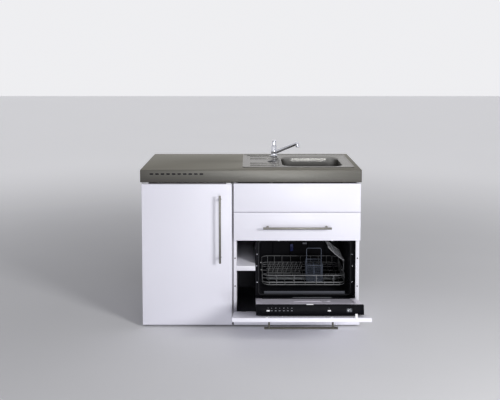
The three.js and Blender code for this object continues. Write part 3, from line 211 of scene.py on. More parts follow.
def repeated(piece, moves):
    """A piece joined with a copy of it for each matrix."""
    group = [piece]
    for move in moves:
        twin = piece.copy()
        twin.data = piece.data.copy()
        twin.data.transform(move)
        bpy.context.scene.collection.objects.link(twin)
        group.append(twin)
    return join(piece.name, group)


def slab(name, x, y, z, rim=0.0, steps=3):
    """A board between the given ends along X, Y and Z, with rounded edges."""
    deselect()
    spans = (x, y, z)
    bpy.ops.mesh.primitive_cube_add(
        size=1, location=[middle(s) * MM for s in spans], scale=[(s[1] - s[0]) * MM for s in spans])
    piece = started(name)
    if rim:
        modify(piece, "BEVEL", width=rim * MM, segments=steps, limit_method="NONE")
    return smooth(piece)


def cushion_box(name, x, y, z, axis, corner, rim=0.0, steps=6):
    """A block with large round corners round one axis and a smaller rounding on its other edges."""
    piece = slab(name, x, y, z)
    along = "XYZ".index(axis)
    bevel_edges(piece, corner, steps, lambda a, b: abs((b - a).normalized()[along]) > 0.99)
    return soften(piece, rim, 4)


def tray(name, x, y, z, rims, steps, wall, bottom):
    """An open box. The two rims are the rounding of its outside and of its inside."""
    box = slab(name, x, y, z, rims[0], steps[0])
    room_z = (z[0] + bottom, z[1] + 5 * BEYOND)
    return cut(box, slab("room", inset(x, wall), inset(y, wall), room_z, rims[1], steps[1]))


def rod(name, start, end, radius, rim=0.0, sides=32):
    """A round bar between two points, with rounded ends."""
    deselect()
    start, end = (Vector([part * MM for part in point]) for point in (start, end))
    line = end - start
    bpy.ops.mesh.primitive_cylinder_add(
        vertices=sides, radius=radius * MM, depth=line.length, location=(start + end) / 2,
        rotation=Vector((0, 0, 1)).rotation_difference(line).to_euler())
    return soften(started(name), rim, 3)


def dowel(name, x, y, z, *sizes, **more):
    """A round bar along one axis: its two ends along that axis, and a single place along the others."""
    start, end = ([v[i] if isinstance(v, tuple) else v for v in (x, y, z)] for i in (0, 1))
    return rod(name, start, end, *sizes, **more)


def turned(name, profile, centre, axis="Z", sides=48, rim=0.0):
    """A piece turned on a lathe. The profile is a list of (radius, height along the axis)."""
    along = "XYZ".index(axis)
    outward = 1 if axis == "X" else 0
    points = []
    for radius, height in profile:
        point = Vector((0, 0, 0))
        point[outward] = radius * MM
        point[along] = height * MM
        points.append(point)
    deselect()
    bpy.ops.mesh.primitive_plane_add(size=MM)
    piece = started(name)
    bpy.ops.object.mode_set(mode="EDIT")
    bpy.ops.mesh.select_mode(type="VERT")
    bpy.ops.mesh.select_all(action="SELECT")
    bpy.ops.mesh.merge(type="CENTER")
    bpy.ops.transform.translate(value=points[0])
    for here, there in zip(points, points[1:]):
        bpy.ops.mesh.extrude_region_move(TRANSFORM_OT_translate={"value": there - here})
    bpy.ops.mesh.select_all(action="SELECT")
    bpy.ops.mesh.spin(steps=sides, angle=2 * pi, center=(0, 0, 0), axis=[i == along for i in range(3)])
    bpy.ops.mesh.select_all(action="SELECT")
    bpy.ops.mesh.remove_doubles(threshold=MM / 100)
    bpy.ops.mesh.normals_make_consistent(inside=False)
    bpy.ops.object.mode_set(mode="OBJECT")
    piece.data.transform(shift(centre))
    return soften(piece, rim, 2, 30)


def rounded(points, radius, steps=5, closed=False):
    """The points of a bent wire: each corner of the line becomes a short curve."""
    points = [Vector(p) for p in points]
    count = len(points)
    line = []
    for i, corner in enumerate(points):
        if not closed and i in (0, count - 1):
            line.append(corner)
            continue
        before, after = points[i - 1] - corner, points[(i + 1) % count] - corner
        reach = min(radius, before.length * 0.49, after.length * 0.49)
        enter, leave = corner + before.normalized() * reach, corner + after.normalized() * reach
        for k in range(steps + 1):
            t = k / steps
            line.append(enter * (1 - t) ** 2 + corner * 2 * t * (1 - t) + leave * t**2)
    return line


def wires(name, paths, radius, loops=(), fineness=2):
    """Round wire along open paths and closed loops, as one mesh."""
    curve = bpy.data.curves.new(name, "CURVE")
    curve.dimensions = "3D"
    curve.bevel_depth = radius * MM
    curve.bevel_resolution = fineness
    curve.use_fill_caps = True
    for closed, group in ((False, paths), (True, loops)):
        for path in group:
            spline = curve.splines.new("POLY")
            spline.points.add(len(path) - 1)
            for point, place in zip(spline.points, path):
                point.co = (*[part * MM for part in place], 1)
            spline.use_cyclic_u = closed
    piece = bpy.data.objects.new(name, curve)
    bpy.context.scene.collection.objects.link(piece)
    pick(piece)
    bpy.ops.object.convert(target="MESH")
    return smooth(bpy.context.active_object, 60)


def rectangle(x, y, z, corner, steps=8):
    """The closed line of a rectangle with round corners in a plane. One of the three is a single place."""
    flat = [i for i, span in enumerate((x, y, z)) if not isinstance(span, tuple)][0]
    u, v = [span for span in (x, y, z) if isinstance(span, tuple)]
    points = [[u[0], v[0]], [u[1], v[0]], [u[1], v[1]], [u[0], v[1]]]
    for point in points:
        point.insert(flat, (x, y, z)[flat])
    return rounded(points, corner, steps, closed=True)


def place(piece, body, slot, *nodes, look=None):
    """Gives a finished piece its material and its body, and hides the CAD nodes that it stands for."""
    piece.data.materials.clear()
    piece.data.materials.append(material(look or slot))
    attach(piece, body)
    if nodes:
        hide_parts(*nodes)


def dress(look, *nodes):
    """Gives a finish to CAD nodes that are shown as they are."""
    for node in nodes:
        frame["nodes"][node].material_slots[0].material = material(look)


# ---------------------------------------------------------------- finishes

def shade(red, green, blue):
    """A colour as it shows on a screen, from 0 to 255, as the shader's linear values."""
    def linear(value):
        v = value / 255
        return v / 12.92 if v <= 0.04045 else ((v + 0.055) / 1.055) ** 2.4
    return (linear(red), linear(green), linear(blue))


def scaled(colour, factor):
    return tuple(channel * factor for channel in colour)


class Finish:
    """A material in the making: its shader and the procedural nodes that feed it.

    The tint and the gloss each follow a pattern between two values, and the bump takes a pattern, a strength
    and a depth in metres.
    """

    def __init__(self, name, colour, roughness, tint=None, gloss=None, bump=None, **sockets):
        self.material = bpy.data.materials.new(name)
        self.material.use_nodes = True
        self.nodes = self.material.node_tree.nodes
        self.links = self.material.node_tree.links
        self.shader = self.nodes["Principled BSDF"]
        self.shader.inputs["Base Color"].default_value = (*colour, 1)
        self.shader.inputs["Roughness"].default_value = roughness
        for socket, value in sockets.items():
            self.shader.inputs[socket.replace("_", " ")].default_value = value
        self.coordinates = self.nodes.new("ShaderNodeTexCoord").outputs["Object"]
        for apply, pattern in ((self.tint, tint), (self.gloss, gloss), (self.bump, bump)):
            if pattern:
                apply(pattern[0](self), *pattern[1:])

    def texture(self, kind, scale, **values):
        """A texture of a kind, fed by the object's own coordinates times a scale."""
        mapping = self.nodes.new("ShaderNodeMapping")
        mapping.inputs["Scale"].default_value = scale
        self.links.new(self.coordinates, mapping.inputs["Vector"])
        texture = self.nodes.new(kind)
        texture.inputs["Scale"].default_value = 1
        for socket, value in values.items():
            texture.inputs[socket].default_value = value
        self.links.new(mapping.outputs["Vector"], texture.inputs["Vector"])
        return texture

    def tint(self, pattern, dark, light, limits=(0.3, 0.7)):
        ramp = self.nodes.new("ShaderNodeValToRGB")
        for element, position, colour in zip(ramp.color_ramp.elements, limits, (dark, light)):
            element.position = position
            element.color = (*colour, 1)
        self.links.new(pattern, ramp.inputs["Fac"])
        self.links.new(ramp.outputs["Color"], self.shader.inputs["Base Color"])

    def gloss(self, pattern, low, high):
        span = self.nodes.new("ShaderNodeMapRange")
        for key, value in (("From Min", 0.3), ("From Max", 0.7), ("To Min", low), ("To Max", high)):
            span.inputs[key].default_value = value
        self.links.new(pattern, span.inputs["Value"])
        self.links.new(span.outputs["Result"], self.shader.inputs["Roughness"])

    def bump(self, pattern, strength, depth):
        bump = self.nodes.new("ShaderNodeBump")
        bump.inputs["Strength"].default_value = strength
        bump.inputs["Distance"].default_value = depth
        self.links.new(pattern, bump.inputs["Height"])
        self.links.new(bump.outputs["Normal"], self.shader.inputs["Normal"])


def cloud(feature_size, stretch=(1, 1, 1), detail=3.0, roughness=0.5):
    """Cloudy noise with features of a size in metres, drawn out where stretch is above 1."""
    scale = [1 / (feature_size * s) for s in stretch]
    return lambda finish: finish.texture(
        "ShaderNodeTexNoise", scale, Detail=detail, Roughness=roughness).outputs["Fac"]


def cells(cell_size, feature="F1"):
    """Irregular cells of a size in metres: their colours, or the distance to their edges."""
    def made(finish):
        texture = finish.texture("ShaderNodeTexVoronoi", [1 / cell_size] * 3)
        texture.feature = feature
        return texture.outputs["Color" if feature == "F1" else "Distance"]
    return made


def painted(name, colour, roughness):
    """Powder coat: a faint orange peel and slight changes of gloss."""
    return Finish(
        name, colour, roughness, Specular_IOR_Level=0.4, Coat_Weight=0.08, Coat_Roughness=0.25,
        tint=(cloud(0.35, detail=2), scaled(colour, 0.985), scaled(colour, 1.01)),
        gloss=(cloud(0.12), roughness * 0.85, roughness * 1.2),
        bump=(cloud(0.004, detail=1), 0.25, 0.00006))


def brushed(name, colour, roughness):
    """Stainless sheet with brush lines drawn out along the worktop."""
    grain = (60, 1, 1)
    # The warm specular tint is painted reflection of a warm wall.
    return Finish(
        name, colour, roughness, Metallic=1.0, Anisotropic=0.4, Specular_Tint=(0.84, 0.82, 0.75, 1),
        tint=(cloud(0.0022, grain, detail=3), scaled(colour, 0.94), scaled(colour, 1.05)),
        gloss=(cloud(0.2, grain, detail=2), roughness * 0.94, roughness * 1.06),
        bump=(cloud(0.0007, grain, detail=4, roughness=0.65), 0.14, 0.00004))


def pressed(name, colour, roughness):
    """Pressed sheet: cloudy satin with hardly a grain."""
    return Finish(
        name, colour, roughness, Metallic=1.0, Specular_Tint=(0.86, 0.85, 0.83, 1),
        tint=(cloud(0.05, (3, 1, 1), detail=2), scaled(colour, 0.98), scaled(colour, 1.02)),
        gloss=(cloud(0.3, detail=1), 0.245, 0.265),
        bump=(cloud(0.004, (8, 1, 1), detail=1), 0.004, 0.00001))


def moulded(name, screen_colour, roughness, texture=0.2, specular=0.45):
    """Moulded plastic with a fine spark texture."""
    colour = shade(*screen_colour)
    return Finish(
        name, colour, roughness, Specular_IOR_Level=specular,
        tint=(cloud(0.06, detail=2), scaled(colour, 0.96), scaled(colour, 1.03)),
        gloss=(cloud(0.02), roughness * 0.88, roughness * 1.12),
        bump=(cloud(0.0012, detail=1), texture, 0.00003))


COLOURED = {  # the finishes whose colour is one of the scene's settings
    "white_front": (painted, "front", 0.34),
    "white_carcass": (painted, "carcass", 0.38),
    "brushed_steel": (brushed, "worktop", 0.36),
    "sink_steel": (pressed, "sink", 0.19),
}
MOULDED = {  # the black one has a weak reflection, so that it stays black under a pale sky
    "black_plastic": ((13, 13, 17), 0.34, 0.06, 0.04),
    # painted sheen: a grey for the black plastic sill, to show the sheen on it; the tub's lock is shown in it too
    "sill_plastic": ((84, 86, 93), 0.38, 0.1),
    "basket_plastic": ((92, 98, 112), 0.42),
    "white_plastic": ((236, 236, 238), 0.4),
    "pipe_plastic": ((214, 215, 214), 0.45),
    "blue_plastic": ((34, 48, 112), 0.4),
}
BAR, SHADED_BAR, LINER = shade(137, 135, 128), shade(92, 90, 84), shade(228, 224, 234)
OTHERS = {
    "handle_steel": dict(
        colour=BAR, roughness=0.34, Metallic=1.0,
        tint=(cloud(0.05, detail=3), scaled(BAR, 0.94), scaled(BAR, 1.05)),
        gloss=(cloud(0.03, detail=2), 0.3, 0.4), bump=(cloud(0.0006, detail=2), 0.06, 0.00002)),
    # Painted shade: the flap's handle is the same steel as the other handles, made darker as if in shade and
    # reflecting a dark floor.
    "flap_handle_steel": dict(
        colour=SHADED_BAR, roughness=0.4, Metallic=1.0,
        tint=(cloud(0.05, detail=3), scaled(SHADED_BAR, 0.94), scaled(SHADED_BAR, 1.05)),
        gloss=(cloud(0.03, detail=2), 0.36, 0.46)),
    "door_liner_steel": dict(
        colour=LINER, roughness=0.42, Metallic=0.25,
        tint=(cloud(0.03, (20, 1, 1), detail=3), scaled(LINER, 0.92), scaled(LINER, 1.05)),
        gloss=(cloud(0.08, detail=3), 0.36, 0.48), bump=(cloud(0.0008, (40, 1, 1), detail=3), 0.12, 0.00003)),
    # Painted shade: a dark grey for the niche's back and floor, which shows the deep shade inside the niche.
    "dark_sheet": dict(
        colour=shade(84, 84, 91), roughness=0.6, Specular_IOR_Level=0.2,
        tint=(cloud(0.3, detail=2), shade(79, 79, 86), shade(89, 89, 96)), gloss=(cloud(0.05), 0.52, 0.68)),
    # Painted light: a lighter copy of the rack's wire for the cup shelf, so that it shows as lit.
    "shelf_wire": dict(
        colour=shade(222, 222, 226), roughness=0.34, Specular_IOR_Level=0.5,
        tint=(cloud(0.04, detail=2), shade(214, 214, 218), shade(230, 230, 234)),
        gloss=(cloud(0.01), 0.28, 0.42)),
    "chrome": dict(
        colour=shade(206, 207, 214), roughness=0.1, Metallic=1.0,
        gloss=(cloud(0.03, detail=4), 0.07, 0.15), bump=(cloud(0.02, detail=2), 0.04, 0.0001)),
    "chipboard": dict(
        colour=shade(186, 156, 112), roughness=0.8,
        tint=(cells(0.003), shade(150, 120, 82), shade(204, 178, 136), (0.1, 0.9)),
        gloss=(cloud(0.01), 0.7, 0.9), bump=(cells(0.0025, "DISTANCE_TO_EDGE"), 0.5, 0.0004)),
    "tub_black": dict(
        colour=shade(23, 23, 27), roughness=0.5, Specular_IOR_Level=0.06,
        tint=(cloud(0.2, detail=3), shade(19, 19, 23), shade(28, 28, 32)),
        gloss=(cloud(0.05), 0.42, 0.6), bump=(cloud(0.0016, detail=2), 0.1, 0.00004)),
    "rack_wire": dict(
        colour=shade(128, 129, 131), roughness=0.4, Specular_IOR_Level=0.3,
        tint=(cloud(0.04, detail=2), shade(118, 119, 121), shade(140, 141, 143)),
        gloss=(cloud(0.01), 0.3, 0.45), bump=(cloud(0.0015), 0.15, 0.00005)),
    "clear_plastic": dict(
        colour=(0.9, 0.95, 0.97), roughness=0.08, Transmission_Weight=0.9, IOR=1.49,
        gloss=(cloud(0.05), 0.05, 0.16), bump=(cloud(0.01, detail=1), 0.05, 0.0001)),
    "shelf_glass": dict(
        colour=(0.86, 0.95, 0.93), roughness=0.03, Transmission_Weight=0.95, IOR=1.5,
        gloss=(cloud(0.08), 0.02, 0.06), bump=(cloud(0.05, detail=1), 0.02, 0.0001)),
    "rubber": dict(
        colour=shade(38, 38, 41), roughness=0.75, Specular_IOR_Level=0.3,
        tint=(cloud(0.03), shade(30, 30, 33), shade(48, 48, 51)),
        gloss=(cloud(0.006), 0.65, 0.85), bump=(cloud(0.0008), 0.3, 0.0001)),
    "black_steel": dict(
        colour=shade(34, 35, 38), roughness=0.4, Metallic=0.3, Coat_Weight=0.3,
        tint=(cloud(0.05, detail=4), shade(28, 29, 32), shade(44, 45, 48)),
        gloss=(cloud(0.02), 0.32, 0.55), bump=(cloud(0.003, detail=2), 0.2, 0.0001)),
    "zinc_steel": dict(
        colour=shade(158, 162, 166), roughness=0.42, Metallic=0.85,
        tint=(cells(0.006), shade(140, 144, 148), shade(178, 182, 186), (0.1, 0.9)),
        gloss=(cloud(0.008), 0.34, 0.55), bump=(cloud(0.002), 0.1, 0.00005)),
    "pale_print": dict(
        colour=shade(150, 152, 158), roughness=0.5,
        tint=(cloud(0.0015), shade(142, 144, 150), shade(160, 162, 168)), gloss=(cloud(0.002), 0.42, 0.58)),
    "display_glass": dict(
        colour=shade(58, 62, 70), roughness=0.1, Coat_Weight=0.6,
        tint=(cloud(0.004), shade(52, 56, 63), shade(66, 70, 78)), gloss=(cloud(0.01), 0.06, 0.14)),
    "filter_mesh": dict(
        colour=shade(140, 140, 142), roughness=0.4, Metallic=0.9,
        tint=(cells(0.0018, "DISTANCE_TO_EDGE"), shade(150, 150, 152), shade(40, 40, 42), (0.05, 0.3)),
        bump=(cells(0.0018, "DISTANCE_TO_EDGE"), 0.6, 0.0004)),
}


def finished(name):
    if name in COLOURED:
        maker, setting, roughness = COLOURED[name]
        return maker(name, getattr(bpy.context.scene.kitchen_colours, setting), roughness)
    return moulded(name, *MOULDED[name]) if name in MOULDED else Finish(name, **OTHERS[name])


def material(look):
    name = "finish_" + look
    if name not in bpy.data.materials:
        finished(look).material.name = name
    return bpy.data.materials[name]


# ---------------------------------------------------------------- worktop, sink and tap

SHEET = 1.5
LIP_DEPTH = 18
SINK_OVERLAP = 13  # of the sink on the worktop
SLOT = {"count": 10, "pitch": 30, "length": 21, "height": 8.5, "first": 51.5, "drop": 18.5}


def worktop_sheet():
    x, y, z = ranges("worktop_skin")
    sink_x, sink_y, _ = ranges("sink")
    core_bottom = ranges("worktop_core")[2][0]
    under = (z[0] - LIP_DEPTH, z[1] - SHEET)
    slot_top = z[1] - SLOT["drop"]
    slots = cushion_box("slots", (x[0] + SLOT["first"], x[0] + SLOT["first"] + SLOT["length"]),
                        (y[0] - SHEET, y[0] + 2 * SHEET), (slot_top - SLOT["height"], slot_top),
                        "Y", SLOT["height"] * 0.49)
    repeated(slots, [shift((i * SLOT["pitch"], 0, 0)) for i in range(1, SLOT["count"])])
    sheet = slab("worktop_sheet", x, y, z, size("worktop_rim"), 4)
    cut(sheet, slab("behind_lip", inset(x, SHEET), (y[0] + LIP_DEPTH, y[1] - SHEET), under),
        slab("over_lip", inset(x, SHEET), inset(y, SHEET), inset(z, SHEET)),
        slab("under_back", inset(x, SHEET), (y[1] - LIP_DEPTH, y[1] + SHEET), (z[0] - SHEET, core_bottom)),
        slab("sink_hole", inset(sink_x, SINK_OVERLAP), inset(sink_y, SINK_OVERLAP),
             (under[1] - SHEET, z[1] + SHEET)), slots)
    place(smooth(sheet), ROOT, "brushed_steel", "worktop_skin")
    # Painted shade: a dark slab behind the vent slots, so that they look dark where there is only shade under the
    # worktop.
    first = x[0] + SLOT["first"] - 6
    backing_x = (first, first + (SLOT["count"] - 1) * SLOT["pitch"] + SLOT["length"] + 12)
    screen = slab("vent_screen", backing_x, (y[0] + SHEET - 0.1, y[0] + SHEET + 1.2),
                  (slot_top - SLOT["height"] - 4, slot_top + 4), 0.4, 2)
    place(screen, ROOT, "black_plastic", look="tub_black")
    dress("chipboard", "worktop_core")


BOWL = {"width": 340, "length": 346, "depth": 150, "right": 55, "front": 35, "corner": 70, "floor_radius": 28,
        "mouth": 9, "draft": 0.96}
RIBS = {"places": (84, 156, 320, 406), "start": 42, "length": 168, "width": 6}
OVERFLOW = {"left": 165, "front": 216, "radius": 12, "flange": 21}
WASTE_HOLE = 44
DRAINER_STEP = 2  # how far the drainer is sunk into the deck


def sink_deck():
    return ranges("worktop_skin")[2][1] + SHEET


def bowl_ranges():
    x, y, _ = ranges("sink")
    right, front, deck = x[1] - BOWL["right"], y[0] + BOWL["front"], sink_deck()
    floor = ranges("worktop_skin")[2][1] - BOWL["depth"]
    return (right - BOWL["width"], right), (front, front + BOWL["length"]), (floor, deck)


def sink_pressing():
    """A sheet pressed into a deck with a sunk drainer and a bowl, with a bead round its edge."""
    x, y, z = ranges("sink")
    deck = sink_deck()
    bowl_x, bowl_y, bowl_z = bowl_ranges()
    drainer_x = (x[0] + 24, bowl_x[0] - 18)
    drainer_y = inset(y, 26)
    step = DRAINER_STEP

    hollow = cushion_box("hollow", bowl_x, bowl_y, (bowl_z[0], deck + 4 * BOWL["mouth"]), "Z",
                         BOWL["corner"], steps=10)
    edit(hollow, "VERT", lambda point: point.co.z / MM < bowl_z[0] + 1, bpy.ops.transform.resize,
         value=(BOWL["draft"], BOWL["draft"], 1),
         center_override=[part * MM for part in (middle(bowl_x), middle(bowl_y), bowl_z[0])])
    bevel_edges(hollow, BOWL["floor_radius"], 7, lambda a, b: max(a.z, b.z) < bowl_z[0] + 1)
    sunk = cushion_box("sunk", drainer_x, drainer_y, about(deck, step), "Z", 24)
    land = dowel("tap_land", 0, 0, (deck - 2 * step, deck + step), 34)
    tap_x, tap_y, _ = ranges("tap_body")
    land.data.transform(shift((middle(tap_x), middle(tap_y), 0)))
    cut(sunk, land)
    sheet = cushion_box("sink_pressing", x, y, (z[0] - BOWL["mouth"], deck), "Z", 18)
    cut(sheet, hollow, sunk)

    def inside(p, spans, over=1):
        return all(s[0] - over < p[i] < s[1] + over for i, s in enumerate(spans))

    def on_mouth(a, b):
        return all(abs(p.z - deck) < 0.1 and inside(p, (bowl_x, bowl_y)) for p in (a, b))

    def is_outer(face):
        """Whether a face is the block's underside or one of its four outer walls."""
        spot, rise = face.calc_center_median() / MM, face.normal.z
        walls = not inside(spot, (bowl_x, bowl_y)) and not inside(spot, (drainer_x, drainer_y))
        return rise < -0.5 or (abs(rise) < 0.5 and walls)

    bevel_edges(sheet, BOWL["mouth"], 4, on_mouth)
    edit(sheet, "FACE", is_outer, bpy.ops.mesh.delete, type="FACE")
    modify(sheet, "SOLIDIFY", thickness=SHEET * 0.8 * MM, offset=-1)
    centre = (middle(bowl_x), middle(bowl_y))
    over_x, over_y = x[0] + OVERFLOW["left"], y[0] + OVERFLOW["front"]
    cut(sheet, dowel("waste_hole", *centre, about(bowl_z[0], BEYOND), WASTE_HOLE),
        dowel("overflow_hole", over_x, over_y, about(deck, BEYOND), OVERFLOW["radius"]))
    half_bead = 4
    bead = wires("bead", [], half_bead, [rectangle(inset(x, half_bead), inset(y, half_bead), 0.0, 14)], 4)
    bead.data.transform(shift((0, 0, deck)) @ Matrix.Diagonal((1, 1, 0.62, 1)))
    rib_x = (x[0] + RIBS["start"], x[0] + RIBS["start"] + RIBS["length"])
    ribs = [slab("rib", rib_x, about(y[0] + offset, RIBS["width"] / 2), (deck - 2 * step, deck + 1), 1.9, 4)
            for offset in RIBS["places"]]
    place(smooth(join("sink_pressing", [sheet, bead, *ribs]), 40), ROOT, "sink_steel", "sink")

    ring = turned("overflow_rose",
                  [(OVERFLOW["radius"], -step), (OVERFLOW["flange"], -step),
                   (OVERFLOW["flange"], -step + 1.6), (OVERFLOW["radius"] + 2, -step + 3.4),
                   (OVERFLOW["radius"], -step + 2), (OVERFLOW["radius"], -step)],
                   (over_x, over_y, deck), rim=0.3)
    bars = [dowel("bar", over_x + k * 5, about(over_y, 11), deck - step, 1.2, sides=12) for k in (-1, 0, 1)]
    place(join("overflow_rose", [ring, *bars]), ROOT, "chrome", look="black_steel")
    well = dowel("overflow_well", over_x, over_y, (deck - 4 * step, deck - 2.2 * step),
                 OVERFLOW["radius"] + 1, 0.4)
    place(well, ROOT, "chrome", look="rubber")


def waste_strainer():
    bowl_x, bowl_y, bowl_z = bowl_ranges()
    bottom = ranges("sink_waste")[2][0] - bowl_z[0]
    outer, wall, flange = WASTE_HOLE - 0.3, 2.5, 52
    outlet = 21
    centre = (middle(bowl_x), middle(bowl_y), bowl_z[0])
    profile = [(flange, 0), (flange - 1, 1.6), (outer, 2), (outer - wall, 1), (outer - wall, bottom + 14),
               (outlet - wall, bottom + wall), (outlet - wall, bottom), (outlet, bottom),
               (outer, bottom + 12), (outer, 0), (flange, 0)]
    place(turned("waste_strainer", profile, centre, rim=0.6), ROOT, "chrome", "sink_waste")
    rim = 2
    profile = [(0, rim - 16), (31, rim - 16), (37, rim - 7), (38, rim), (43.5, rim + 0.2), (43.5, rim + 1.5),
               (37, rim + 1.5), (31, rim - 13), (5, rim - 13), (4, rim + 1), (8, rim + 5),
               (7.4, rim + 9), (0, rim + 10)]
    plug = turned("strainer_plug", profile, centre, rim=0.7)
    holes = dowel("holes", centre[0] + 20, centre[1], (centre[2] - 3 * BEYOND, centre[2]), 2.2, sides=12)
    to_centre = shift(centre)
    turns = [to_centre @ Matrix.Rotation(2 * pi * k / 12, 4, "Z") @ to_centre.inverted()
             for k in range(1, 12)]
    cut(plug, repeated(holes, turns))
    place(smooth(plug), "sink_plug", "chrome", "sink_plug")


PIPE = {"radius": 20, "drop": 22, "trap": 34, "trap_height": 110, "trap_from_back": 92, "trap_drop": 30,
        "outlet_drop": 36, "branch": 11}


def waste_pipes():
    """The bowl's bend, level run, bottle trap and outlet, and the drainer's branch, with their nuts."""
    bowl_x, bowl_y, _ = bowl_ranges()
    x, y = middle(bowl_x), middle(bowl_y)
    sink_x, sink_y, _ = ranges("sink")
    start = ranges("sink_waste")[2][0] - 0.3
    level = start - PIPE["drop"]
    trap_y = ranges("worktop_skin")[1][1] - PIPE["trap_from_back"]
    back = ranges("waste_pipe")[1][1]
    trap_top = level - PIPE["trap_drop"]
    outlet = trap_top - PIPE["outlet_drop"]
    over_x, over_y = sink_x[0] + OVERFLOW["left"], sink_y[0] + OVERFLOW["front"]
    main = [(x, y, start), (x, y, level), (x, trap_y, level), (x, trap_y, trap_top - 20)]
    branch_y = y + 60
    branch = [(over_x, over_y, sink_deck() - 6), (over_x, over_y, level),
              (over_x, branch_y, level), (x, branch_y, level)]
    r = PIPE["trap"]
    bottle = turned("bottle",
                    [(0, -PIPE["trap_height"]), (r - 8, -PIPE["trap_height"]), (r, -PIPE["trap_height"] + 8),
                     (r, -46), (r - 2, -44), (r - 2, -10), (r - 8, 0), (0, 0)], (x, trap_y, trap_top), rim=2)
    nut = [(PIPE["radius"] - 3, 0), (PIPE["radius"] + 5, 0), (PIPE["radius"] + 5, 14),
           (PIPE["radius"] - 3, 18), (PIPE["radius"] - 3, 0)]
    pieces = [wires("waste_run", [rounded(main, 18, 8)], PIPE["radius"], fineness=6),
              wires("branch_run", [rounded(branch, 14, 6)], PIPE["branch"], fineness=4),
              dowel("outlet", x, (trap_y, back), outlet, PIPE["radius"] - 2, 1), bottle,
              turned("nut", nut, (x, y, level + 2), sides=12, rim=1),
              turned("nut", nut, (x, trap_y, trap_top - 4), sides=12, rim=1),
              turned("nut", nut, (x, trap_y + r - 2, outlet), "Y", 12, 1),
              dowel("branch_cup", over_x, over_y, (sink_deck() - 15.5, sink_deck() - 10.5),
                    OVERFLOW["flange"], 1)]
    place(join("drain_pipes", pieces), ROOT, "pipe_plastic", "waste_pipe")


SPOUT = {"reach": 190, "rise": 66, "drop": 20, "angle": radians(-45), "radius": 10.5}


def tap():
    x, y, z = ranges("tap_body")
    centre = (middle(x), middle(y), sink_deck())
    top = z[1] - sink_deck()
    shank = z[0] - sink_deck()
    column = turned("tap_column",
                    [(0, shank), (15, shank), (15, 0), (21, 0), (21, 2.4), (19, 4), (17, 5), (17, 12),
                     (16.6, 12.6), (16.6, top - 2), (16, top), (0, top)], centre, rim=0.5)
    place(column, ROOT, "chrome", "tap_body")

    low, high = (v - centre[2] for v in (ranges("tap_spout")[2][0], ranges("tap_spout")[2][0] + 24))
    collar = turned("collar",
                    [(17.3, low), (18.6, low), (19, low + 1), (19, high - 1), (18.6, high), (17.3, high),
                     (17.3, low)], centre, rim=0.5)
    root = centre[2] + (low + high) / 2

    def away(distance, height):
        return Vector((centre[0] + distance * cos(SPOUT["angle"]),
                       centre[1] + distance * sin(SPOUT["angle"]), height))

    reach, rise = SPOUT["reach"], SPOUT["rise"]
    route = [away(19, root), away(reach, root + rise * 1.06), away(reach, root + rise - SPOUT["drop"] + 2)]
    arm = wires("arm", [rounded(route, 12, 10)], SPOUT["radius"], fineness=8)
    tip = away(reach, root + rise - SPOUT["drop"])
    aerator = rod("aerator", tip + Vector((0, 0, 12)), tip, SPOUT["radius"] + 0.6, 0.8)
    place(join("tap_spout_tube", [collar, arm, aerator]), "tap_spout", "chrome", "tap_spout")

    cap_z = ranges("tap_cap")[2]
    cap = turned("mixer_cap",
                 [(0, cap_z[0]), (13.5, cap_z[0]), (13.5, cap_z[0] + 4), (13, cap_z[0] + 4.6),
                  (13, cap_z[1] - 3), (11, cap_z[1]), (0, cap_z[1])], (centre[0], centre[1], 0), rim=0.5)
    place(cap, "tap_cap", "chrome", "tap_cap")

    base = cap_z[1] + 0.3
    blade = slab("blade", (-11.5, 11.5), (-92, 2), (-5, 0), 1.8, 3)
    blade.data.transform(shift((centre[0], centre[1], base + 8)) @ Matrix.Rotation(radians(-5), 4, "X"))
    hub = slab("hub", about(centre[0], 11), (centre[1] - 13.5, centre[1] + 10.5), (base, base + 8.5), 3, 4)
    place(join("lever_blade", [hub, blade]), "tap_lever", "chrome", "tap_lever")


# ---------------------------------------------------------------- carcass and fronts

STILE_SCREWS = (221, 377)


def screw(name, centre, radius, axis="Y"):
    """A pan-head screw with a cross recess, facing -Y."""
    head = turned(name, [(0, 0), (radius, 0), (radius, -0.5), (radius * 0.7, -1.3), (0, -1.5)],
                  (0, 0, 0), axis, 16)
    arm = radius * 0.55
    for spans in (((-arm, arm), (-0.3, 0.3)), ((-0.3, 0.3), (-arm, arm))):
        cut(head, slab("recess", spans[0], (-2, -0.9), spans[1]))
    head.data.transform(shift(centre))
    return head


def carcass():
    for node, name in (("left_side", "side_left"), ("partition", "partition_board"),
                       ("right_side", "side_right"), ("niche_shelf", "niche_board")):
        place(slab(name, *ranges(node), size("carcass_rim"), 2), ROOT, "white_carcass", node)
    screws = []
    for node in ("partition", "right_side"):
        x, y, _ = ranges(node)
        screws += [screw("stile_screw", (middle(x), y[0], z), 3.8) for z in STILE_SCREWS]
    place(join("stile_screws", screws), ROOT, "zinc_steel", look="black_steel")
    # The niche's back and floor take a dark grey: painted shade inside the niche.
    dress("dark_sheet", "cabinet_floor", "cabinet_back")
    dress("zinc_steel", "drawer_runner_left", "drawer_runner_right", "flap_hinge_left",
          "flap_hinge_right", "fridge_hinge_bottom")


def levelling_feet():
    """A ribbed pad with a threaded stem under each corner."""
    for row in ("front", "back"):
        for side in ("left", "right"):
            node = f"foot_{row}_{side}"
            x, y, z = ranges(node)
            radius = (x[1] - x[0]) / 2
            pad = turned("foot",
                         [(0, 0), (radius - 1, 0), (radius, 1), (radius, 5), (radius - 2, 6), (9, 7.4),
                          *[(10 if k % 2 else 9, 7.6 + k * 0.55) for k in range(8)], (0, z[1])],
                          (middle(x), middle(y), 0), sides=36)
            place(pad, ROOT, "black_plastic", node)
            pad.name = f"levelling_foot_{row}_{side}"


